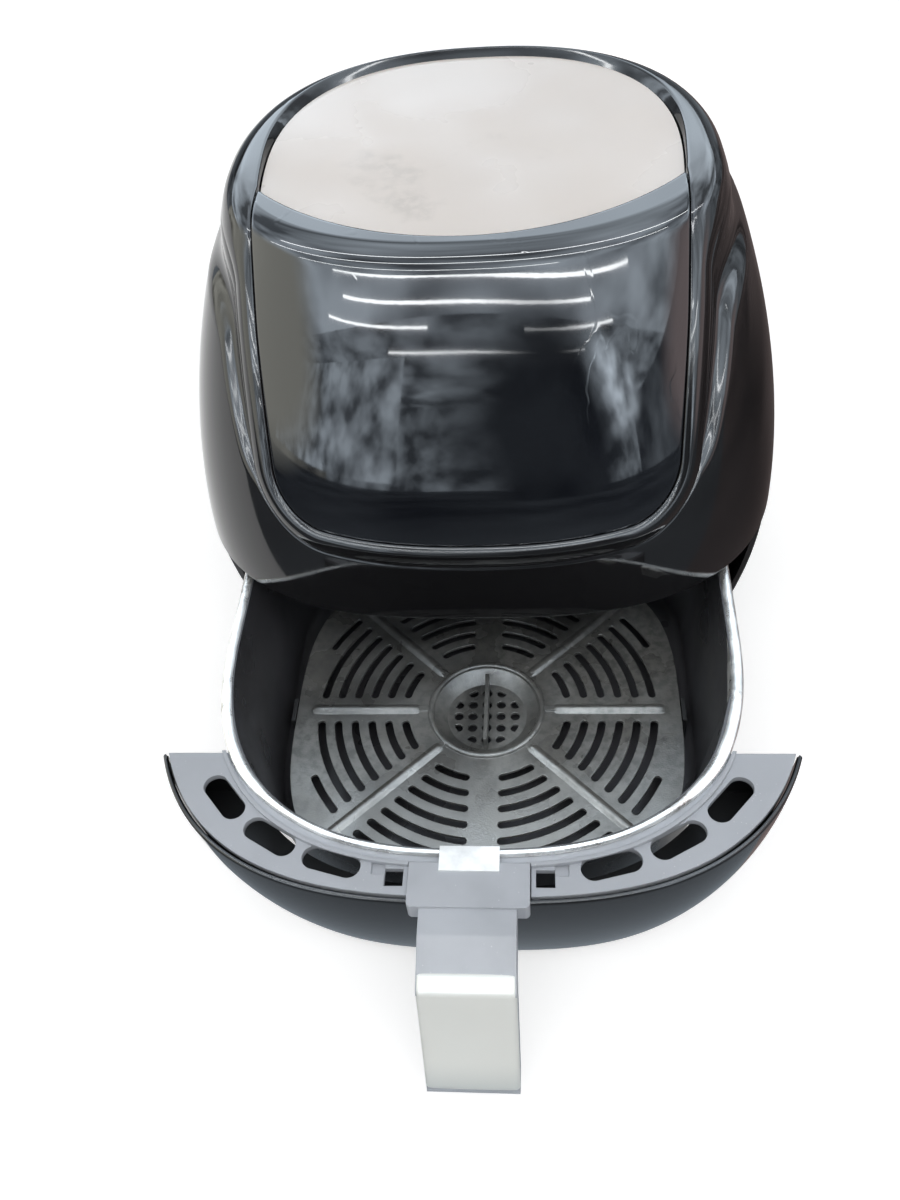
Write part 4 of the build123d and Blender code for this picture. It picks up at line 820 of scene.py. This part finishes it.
def finishes():
    """Every finish by the record's slot, or by the name of the one node that it is for."""
    c = colours()
    made = (
        Finish("gloss_black", c.moulding, 0.07).mottle(9, 0.2).smudge(26, 0.35).grain(320, 0.03),
        Finish("lens_black", c.lens, 0.035, coat=0.3).mottle(7, 0.2).smudge(17, 0.5, 5.0)
        .grain(260, 0.012).scratches(34, 0.25),
        Finish("matt_black", (0.014, 0.014, 0.015), 0.48).mottle(20, 0.25).smudge(40, 0.2)
        .grain(1500, 0.35).soft_edges(0.4),
        Finish("grey_plastic", c.plastic, 0.42).mottle(22, 0.10).smudge(60, 0.18)
        .flecks(420, 0.13, (0.75, 0.75, 0.76), 0.4).grain(2200, 0.22).soft_edges(0.5),
        Finish("soft_grip", (0.345, 0.36, 0.395), 0.62).mottle(25, 0.15).smudge(50, 0.15)
        .grain(1800, 0.3).soft_edges(0.5),
        # Handle cover: painted shade, a duller grey-green blended in towards its lower end.
        Finish("silver_trim", c.silver, 0.36, metallic=0.12).mottle(14, 0.02)
        .painted_shade_below((0.56, 0.61, 0.61), 0.018, 0.050).smudge(30, 0.2).grain(1300, 0.02),
        Finish("nonstick_pan", c.pan, 0.34).mottle(16, 0.3).smudge(22, 0.25)
        .flecks(160, 0.07, (0.10, 0.10, 0.11), 0.3).grain(1400, 0.3),
        Finish("rolled_rim", c.rim, 0.33, metallic=0.85).mottle(60, 0.22).smudge(90, 0.3)
        .wear(55, (0.10, 0.075, 0.05), 0.56, 0.66, 0.6).grain(900, 0.18),
        # Tray: painted light, a lighter patchy colour towards the front, standing in for the shade that the housing
        # casts on the back.
        Finish("nonstick_tray", c.tray, 0.36, metallic=0.35).mottle(30, 0.35, 6.0)
        .smudge(45, 0.35).wear(18, (0.30, 0.30, 0.285), 0.30, 0.66, 0.8)
        .painted_light_towards_front((0.38, 0.375, 0.355), DRAWER_Y - 0.01, DRAWER_Y - 0.095, 0.8)
        .flecks(230, 0.12, (0.34, 0.32, 0.28), 0.35).grain(1100, 0.55, 4.0).grain(160, 0.25, 3.0).soft_edges(0.6),
        Finish("silicone", (0.016, 0.016, 0.016), 0.55).mottle(30, 0.2).grain(900, 0.3).soft_edges(0.4),
        Finish("rubber", (0.013, 0.013, 0.013), 0.7).mottle(30, 0.2).grain(900, 0.4).soft_edges(0.5),
        Finish("aluminised_steel", (0.55, 0.55, 0.54), 0.34, metallic=0.95).mottle(24, 0.12)
        .smudge(60, 0.3, stretch=(1, 6, 1)).grain(700, 0.12, stretch=(1, 12, 1)).soft_edges(0.3),
        Finish("steel", (0.50, 0.50, 0.49), 0.3, metallic=0.95).mottle(60, 0.15).grain(900, 0.15)
        .soft_edges(0.3),
        Finish("element_sheath", (0.075, 0.065, 0.058), 0.5, metallic=0.7).mottle(45, 0.35)
        .grain(800, 0.3),
        Finish("ceramic", (0.72, 0.70, 0.64), 0.3).mottle(50, 0.05).grain(500, 0.1).soft_edges(0.3),
        Finish("motor_steel", (0.34, 0.34, 0.34), 0.38, metallic=0.8).mottle(40, 0.12)
        .grain(700, 0.12).soft_edges(0.3),
        Finish("copper_winding", (0.42, 0.17, 0.07), 0.32, metallic=0.85).mottle(80, 0.2)
        .grain(160, 0.8, stretch=(1, 1, 8)),
        Finish("bronze", (0.45, 0.30, 0.14), 0.36, metallic=0.9).mottle(60, 0.12).grain(900, 0.2),
        Finish("fan_aluminium", (0.66, 0.66, 0.66), 0.3, metallic=0.95).mottle(30, 0.08)
        .grain(700, 0.12, stretch=(1, 8, 1)).soft_edges(0.3),
        Finish("fan_plastic", (0.02, 0.02, 0.02), 0.45).mottle(30, 0.2).grain(1000, 0.3),
        Finish("circuit_board", (0.015, 0.09, 0.035), 0.28).mottle(120, 0.35).grain(500, 0.2),
        Finish("transformer_tape", (0.62, 0.45, 0.05), 0.35).mottle(40, 0.1)
        .grain(200, 0.3, stretch=(1, 1, 6)),
        Finish("relay_case", (0.03, 0.08, 0.28), 0.35).mottle(40, 0.1).grain(900, 0.15).soft_edges(0.3),
        Finish("capacitor_sleeve", (0.02, 0.02, 0.06), 0.25).mottle(40, 0.1).grain(500, 0.1),
        Finish("white_plastic", (0.66, 0.66, 0.64), 0.4).mottle(40, 0.05).grain(900, 0.15),
        Finish("basket_clip", (0.80, 0.80, 0.79), 0.42, metallic=0.2).mottle(70, 0.2).smudge(90, 0.3)
        .grain(900, 0.25).soft_edges(0.3),
        # Drawer flange: painted shade, near black below its top face, so the pockets under the slots read dark.
        Finish("drawer_flange", c.plastic, 0.42).mottle(22, 0.05).smudge(60, 0.18)
        .flecks(420, 0.13, (0.75, 0.75, 0.76), 0.4).painted_shade_below((0.012, 0.012, 0.013), 0.0905, 0.0925)
        .grain(2200, 0.22).soft_edges(0.5),
        Finish("top_panel", c.panel, 0.30).mottle(8, 0.03).smudge(14, 0.3, 4.0)
        .wear(16, (0.52, 0.47, 0.42), 0.60, 0.70, 0.5).grain(900, 0.05),
    )
    named = {finish.name: finish.material for finish in made}
    return {**named, "fascia_frame": named["drawer_flange"]}


MATERIALS = {}


# ---- stage ----
FLOOR_GREY, FLOOR_GLOW = 0.86, 0.5
CAMERA_AT = (0.032, FAN_Y - 0.4685, 0.490)
CAMERA_TURN = (-0.133, 0.840, -0.110)       # yaw, pitch down and roll, in radians


def flat_object(name, points, material):
    """An object of the stage from a grid of points in metres."""
    mesh = bpy.data.meshes.new(name)
    faces = grid_faces(points.shape[0], points.shape[1]).reshape(-1, 4)
    mesh.from_pydata(points.reshape(-1, 3).tolist(), [], faces.tolist())
    mesh.materials.append(material)
    made = bpy.data.objects.new(name, mesh)
    bpy.context.scene.collection.objects.link(made)
    return made


def make_floor():
    """A wide pale floor whose camera view is lifted to the backdrop's white."""
    material, tree = node_material("studio_floor")
    shader = tree.nodes["Principled BSDF"]
    shader.inputs["Base Color"].default_value = (FLOOR_GREY, FLOOR_GREY, FLOOR_GREY, 1)
    shader.inputs["Roughness"].default_value = 0.9
    shader.inputs["Specular IOR Level"].default_value = 0.1
    path = add_node(tree, "ShaderNodeLightPath").outputs
    seen = add_node(tree, "ShaderNodeMath", {0: path["Is Camera Ray"], 1: path["Is Glossy Ray"]}, operation="MAXIMUM")
    scale = add_node(tree, "ShaderNodeMath", {0: seen.outputs[0], 1: FLOOR_GLOW}, operation="MULTIPLY")
    glow = add_node(tree, "ShaderNodeEmission", {"Strength": scale.outputs[0]})
    both = add_node(tree, "ShaderNodeAddShader", {0: shader.outputs[0], 1: glow.outputs[0]})
    tree.links.new(both.outputs[0], tree.nodes["Material Output"].inputs["Surface"])
    flat_object("studio_floor", flat_card((-4, 4), (-4, 4), (-0.0002, -0.0002)), material)


def make_world(strength):
    """Even room light, with white where the camera or a reflection looks past everything."""
    world = bpy.data.worlds.new("studio_room")
    bpy.context.scene.world = world
    world.use_nodes = True
    tree = world.node_tree
    background = tree.nodes["Background"]
    background.inputs["Color"].default_value = (1, 1, 1, 1)
    path = add_node(tree, "ShaderNodeLightPath").outputs
    seen = path["Is Camera Ray"]
    for key in ("Is Glossy Ray", "Is Transmission Ray"):
        seen = add_node(tree, "ShaderNodeMath", {0: seen, 1: path[key]}, operation="MAXIMUM").outputs[0]
    level = add_node(tree, "ShaderNodeMapRange", {"Value": seen, "To Min": strength, "To Max": 1.0})
    tree.links.new(level.outputs["Result"], background.inputs["Strength"])


def make_lamps(power):
    """One wide soft lamp above the front and a weaker one behind, both without a mirror image."""
    for name, place, turn, size, share in (
            ("soft_front", (0.2, -1.3, 2.1), (-0.55, 0.1, 0.0), 1.8, 1.0),
            ("soft_back", (-0.5, 1.6, 1.8), (0.75, -0.25, 0.0), 1.5, 0.35)):
        lamp = bpy.data.lights.new(name, "AREA")
        lamp.shape = "SQUARE"
        lamp.size = size
        lamp.energy = power * share
        holder = bpy.data.objects.new(name, lamp)
        holder.location = place
        holder.rotation_euler = turn
        holder.visible_glossy = False
        bpy.context.scene.collection.objects.link(holder)


def card(name, points, colour, strength, cloud_scale=0.0, faded=False):
    """A sheet of points in metres that only reflections see, as bright as its strength.

    Clouds take it down to a share of that in places, and a faded one dies away towards its edges.
    """
    material, tree = node_material(name)
    tree.nodes.remove(tree.nodes["Principled BSDF"])
    place = add_node(tree, "ShaderNodeTexCoord").outputs["Object"]
    level = strength
    if cloud_scale:
        cloud = add_node(tree, "ShaderNodeTexNoise", {"Vector": place, "Scale": cloud_scale, "Detail": 3.0})
        level = add_node(tree, "ShaderNodeMapRange", {
            "Value": cloud.outputs["Fac"], "From Min": 0.35, "From Max": 0.65,
            "To Min": 0.15 * strength, "To Max": strength}).outputs["Result"]
    shown = add_node(tree, "ShaderNodeEmission", {"Color": (*colour, 1), "Strength": level})
    if faded:
        low, high = points.reshape(-1, 3).min(axis=0), points.reshape(-1, 3).max(axis=0)
        away = add_node(tree, "ShaderNodeVectorMath", {0: place, 1: (low + high) / 2}, operation="SUBTRACT")
        for operation, value in (("DIVIDE", {1: np.maximum((high - low) / 2, 0.2)}), ("LENGTH", {})):
            away = add_node(tree, "ShaderNodeVectorMath", {0: away.outputs[0], **value}, operation=operation)
        fade = add_node(tree, "ShaderNodeMapRange", {
            "Value": away.outputs["Value"], "From Min": 0.45, "From Max": 1.0,
            "To Min": 1.0, "To Max": 0.0}, interpolation_type="SMOOTHSTEP")
        clear = add_node(tree, "ShaderNodeBsdfTransparent")
        shown = add_node(tree, "ShaderNodeMixShader", {0: fade.outputs["Result"], 1: clear.outputs[0],
                                                       2: shown.outputs[0]})
    tree.links.new(shown.outputs[0], tree.nodes["Material Output"].inputs["Surface"])
    sheet = flat_object(name, points, material)
    sheet.visible_camera = False
    sheet.visible_diffuse = False
    sheet.visible_shadow = False
    sheet.visible_transmission = False


def flat_card(xs, ys, zs):
    """A flat grid between two corners: first along x, then along y and z together, or where x stays the
    same, first along y, then along z."""
    t = np.linspace(0, 1, 9)
    u, v = np.meshgrid(t, t)
    shares = (u, u if xs[0] == xs[1] else v, v)
    return np.stack([low + (high - low) * share for (low, high), share in zip((xs, ys, zs), shares)], axis=-1)


def make_cards():
    """What the gloss mirrors: a ceiling with curved rows of tubes, walls, pale and dark screens, a dark mat."""
    cool, warm, rosy, rusty = (0.78, 0.89, 1.0), (1.0, 1.0, 0.90), (1.0, 0.82, 0.82), (1.0, 0.8, 0.78)
    left, right, front, middle, back, top = -7.0, 7.0, -9.0, -4.4, 5.0, 2.6     # the room, in metres
    width, depth, height, ceiling, mat, screen = (left, right), (front, back), (0.0, top), (top, top), \
        (0.0006, 0.0006), (-3.6, -3.6)
    for name, xs, ys, zs, colour, strength, *cloud_and_fade in (
            ("near_ceiling", width, (middle, back), ceiling, cool, 5.2, 0.4),
            ("far_ceiling", width, (front, middle), ceiling, cool, 3.2, 1.1),
            ("hall_back_wall", width, (back, back), height, cool, 0.6, 0.7),
            ("hall_front_wall", width, (front, front), height, cool, 2.6, 1.3),
            ("hall_left_wall", (left, left), depth, height, warm, 2.0, 0.5),
            ("hall_right_wall", (right, right), depth, height, cool, 1.2, 0.5),
            ("dark_mat", width, (front, -0.12), mat, cool, 0.35, 0.8),
            ("dark_side_mat", (0.12, right), (-0.12, back), mat, rusty, 0.35, 0.8),
            ("dark_screen", (-0.75, 2.35), (-3.3, -3.3), (-1.2, 2.7), cool, 0.2, 0.9, True),
            ("left_screen", (-6.6, -1.1), screen, (0.2, 1.75), cool, 4.5, 2.2),
            ("right_screen", (0.9, 3.4), screen, (0.6, 2.1), cool, 12.0, 1.7, True),
            ("low_left_screen", (-1.6, -1.6), (-1.9, 0.9), (-0.1, 1.3), warm, 2.2, 0.0, True),
            ("low_right_screen", (1.9, 1.9), (-1.6, 0.6), (-0.1, 1.1), rosy, 1.6, 0.0, True)):
        card(name, flat_card(xs, ys, zs), colour, strength, *cloud_and_fade)
    tube_z, tube_half, circle_y, tube_light = 2.3, 0.035, 4.0, 24.0
    for radius, first, last in ((6.75, -31, 9), (7.15, -22, 24), (7.6, -20, 15), (8.15, -24, -6), (8.2, 4, 20),
                                (8.9, -12, 14), (5.6, -40, 34), (4.7, -30, 45)):
        angle = np.radians(np.linspace(first, last, 60))
        reach = radius + np.array([-tube_half, tube_half])[:, None]
        x = reach * np.sin(angle)
        row = np.stack([x, circle_y - reach * np.cos(angle), np.full(x.shape, tube_z)], axis=-1)
        card(f"ceiling_row_{radius}_{last}".replace(".", "_"), row, (0.95, 0.98, 1.0), tube_light)


def make_camera(lens_mm):
    """A camera above the front of the drawer that looks down at the housing."""
    yaw, pitch, roll = CAMERA_TURN
    ahead = Vector((np.sin(yaw) * np.cos(pitch), np.cos(yaw) * np.cos(pitch), -np.sin(pitch)))
    right = Vector((np.cos(yaw), -np.sin(yaw), 0.0))
    up = right.cross(ahead)
    rolled_right = np.cos(roll) * right + np.sin(roll) * up
    rolled_up = -np.sin(roll) * right + np.cos(roll) * up
    lens = bpy.data.cameras.new("studio_camera")
    lens.sensor_fit = "AUTO"
    lens.sensor_width = 36.0
    lens.lens = lens_mm
    camera = bpy.data.objects.new("studio_camera", lens)
    turn = Matrix((rolled_right, rolled_up, -ahead)).transposed().to_4x4()
    camera.matrix_world = Matrix.Translation(CAMERA_AT) @ turn
    bpy.context.scene.collection.objects.link(camera)
    bpy.context.scene.camera = camera


# ---- operators ----
class FRYER_OT_finishes(bpy.types.Operator):
    """Make the finishes and give the CAD nodes theirs"""
    bl_idname = "fryer.finishes"
    bl_label = "Finishes"

    def execute(self, context):
        MATERIALS.update(finishes())
        slots = {part["node"]: part["material_slot"] for part in FRAME["record"]["subparts"]}
        for name, node in FRAME["nodes"].items():
            node.data.materials.clear()
            node.data.materials.append(MATERIALS.get(name) or MATERIALS[slots[name]])
        return {"FINISHED"}


class FRYER_OT_band(bpy.types.Operator):
    """Make the moulding round the lens and the top panel"""
    bl_idname = "fryer.band"
    bl_label = "Lens and lid band"

    def execute(self, context):
        make_band(MATERIALS["gloss_black"])
        return {"FINISHED"}


class FRYER_OT_shell(bpy.types.Operator):
    """Make the outer shell"""
    bl_idname = "fryer.shell"
    bl_label = "Outer shell"

    def execute(self, context):
        make_shell(MATERIALS["gloss_black"])
        return {"FINISHED"}


class FRYER_OT_lens(bpy.types.Operator):
    """Make the curved front lens"""
    bl_idname = "fryer.lens"
    bl_label = "Lens"

    def execute(self, context):
        make_lens(MATERIALS["lens_black"])
        return {"FINISHED"}


class FRYER_OT_drawer(bpy.types.Operator):
    """Make the drawer's skin, rolled rim and handle cover"""
    bl_idname = "fryer.drawer"
    bl_label = "Drawer"

    def execute(self, context):
        make_drawer_skin(MATERIALS["gloss_black"])
        make_rim(MATERIALS["rolled_rim"])
        make_handle_cover(MATERIALS["silver_trim"])
        return {"FINISHED"}


class FRYER_OT_tray(bpy.types.Operator):
    """Make the tray's pressed ridges"""
    bl_idname = "fryer.tray"
    bl_label = "Tray ridges"

    def execute(self, context):
        make_tray_ridges(MATERIALS["nonstick_tray"])
        return {"FINISHED"}


class FRYER_OT_stage(bpy.types.Operator):
    """Make the floor, the light and the camera"""
    bl_idname = "fryer.stage"
    bl_label = "Studio"

    def execute(self, context):
        stage = context.scene.fryer_stage
        make_floor()
        make_world(stage.sky)
        make_lamps(stage.lamp_power)
        make_cards()
        make_camera(stage.lens_mm)
        context.scene.view_settings.view_transform = "Standard"
        return {"FINISHED"}


OPERATORS = (FRYER_OT_finishes, FRYER_OT_shell, FRYER_OT_band, FRYER_OT_lens, FRYER_OT_drawer, FRYER_OT_tray,
             FRYER_OT_stage)


class FRYER_PT_panel(bpy.types.Panel):
    """Lists the steps and their settings"""
    bl_idname = "FRYER_PT_panel"
    bl_label = "Drawer Air Fryer"
    bl_space_type = "VIEW_3D"
    bl_region_type = "UI"
    bl_category = "Fryer"

    def draw(self, context):
        for operator in OPERATORS:
            self.layout.operator(operator.bl_idname)
        for group in (context.scene.fryer_form, context.scene.fryer_colours, context.scene.fryer_stage):
            box = self.layout.box()
            for key in group.__annotations__:
                box.prop(group, key)


CLASSES = (FryerForm, FryerColours, FryerStage, *OPERATORS, FRYER_PT_panel)


def register():
    for cls in CLASSES:
        bpy.utils.register_class(cls)
    bpy.types.Scene.fryer_form = bpy.props.PointerProperty(type=FryerForm)
    bpy.types.Scene.fryer_colours = bpy.props.PointerProperty(type=FryerColours)
    bpy.types.Scene.fryer_stage = bpy.props.PointerProperty(type=FryerStage)


def unregister():
    del bpy.types.Scene.fryer_stage
    del bpy.types.Scene.fryer_colours
    del bpy.types.Scene.fryer_form
    for cls in reversed(CLASSES):
        bpy.utils.unregister_class(cls)


def main():
    register()
    bpy.ops.fryer.finishes()
    bpy.ops.fryer.shell()
    bpy.ops.fryer.band()
    bpy.ops.fryer.lens()
    bpy.ops.fryer.drawer()
    bpy.ops.fryer.tray()
    bpy.ops.fryer.stage()


if __name__ == "__main__":
    main()
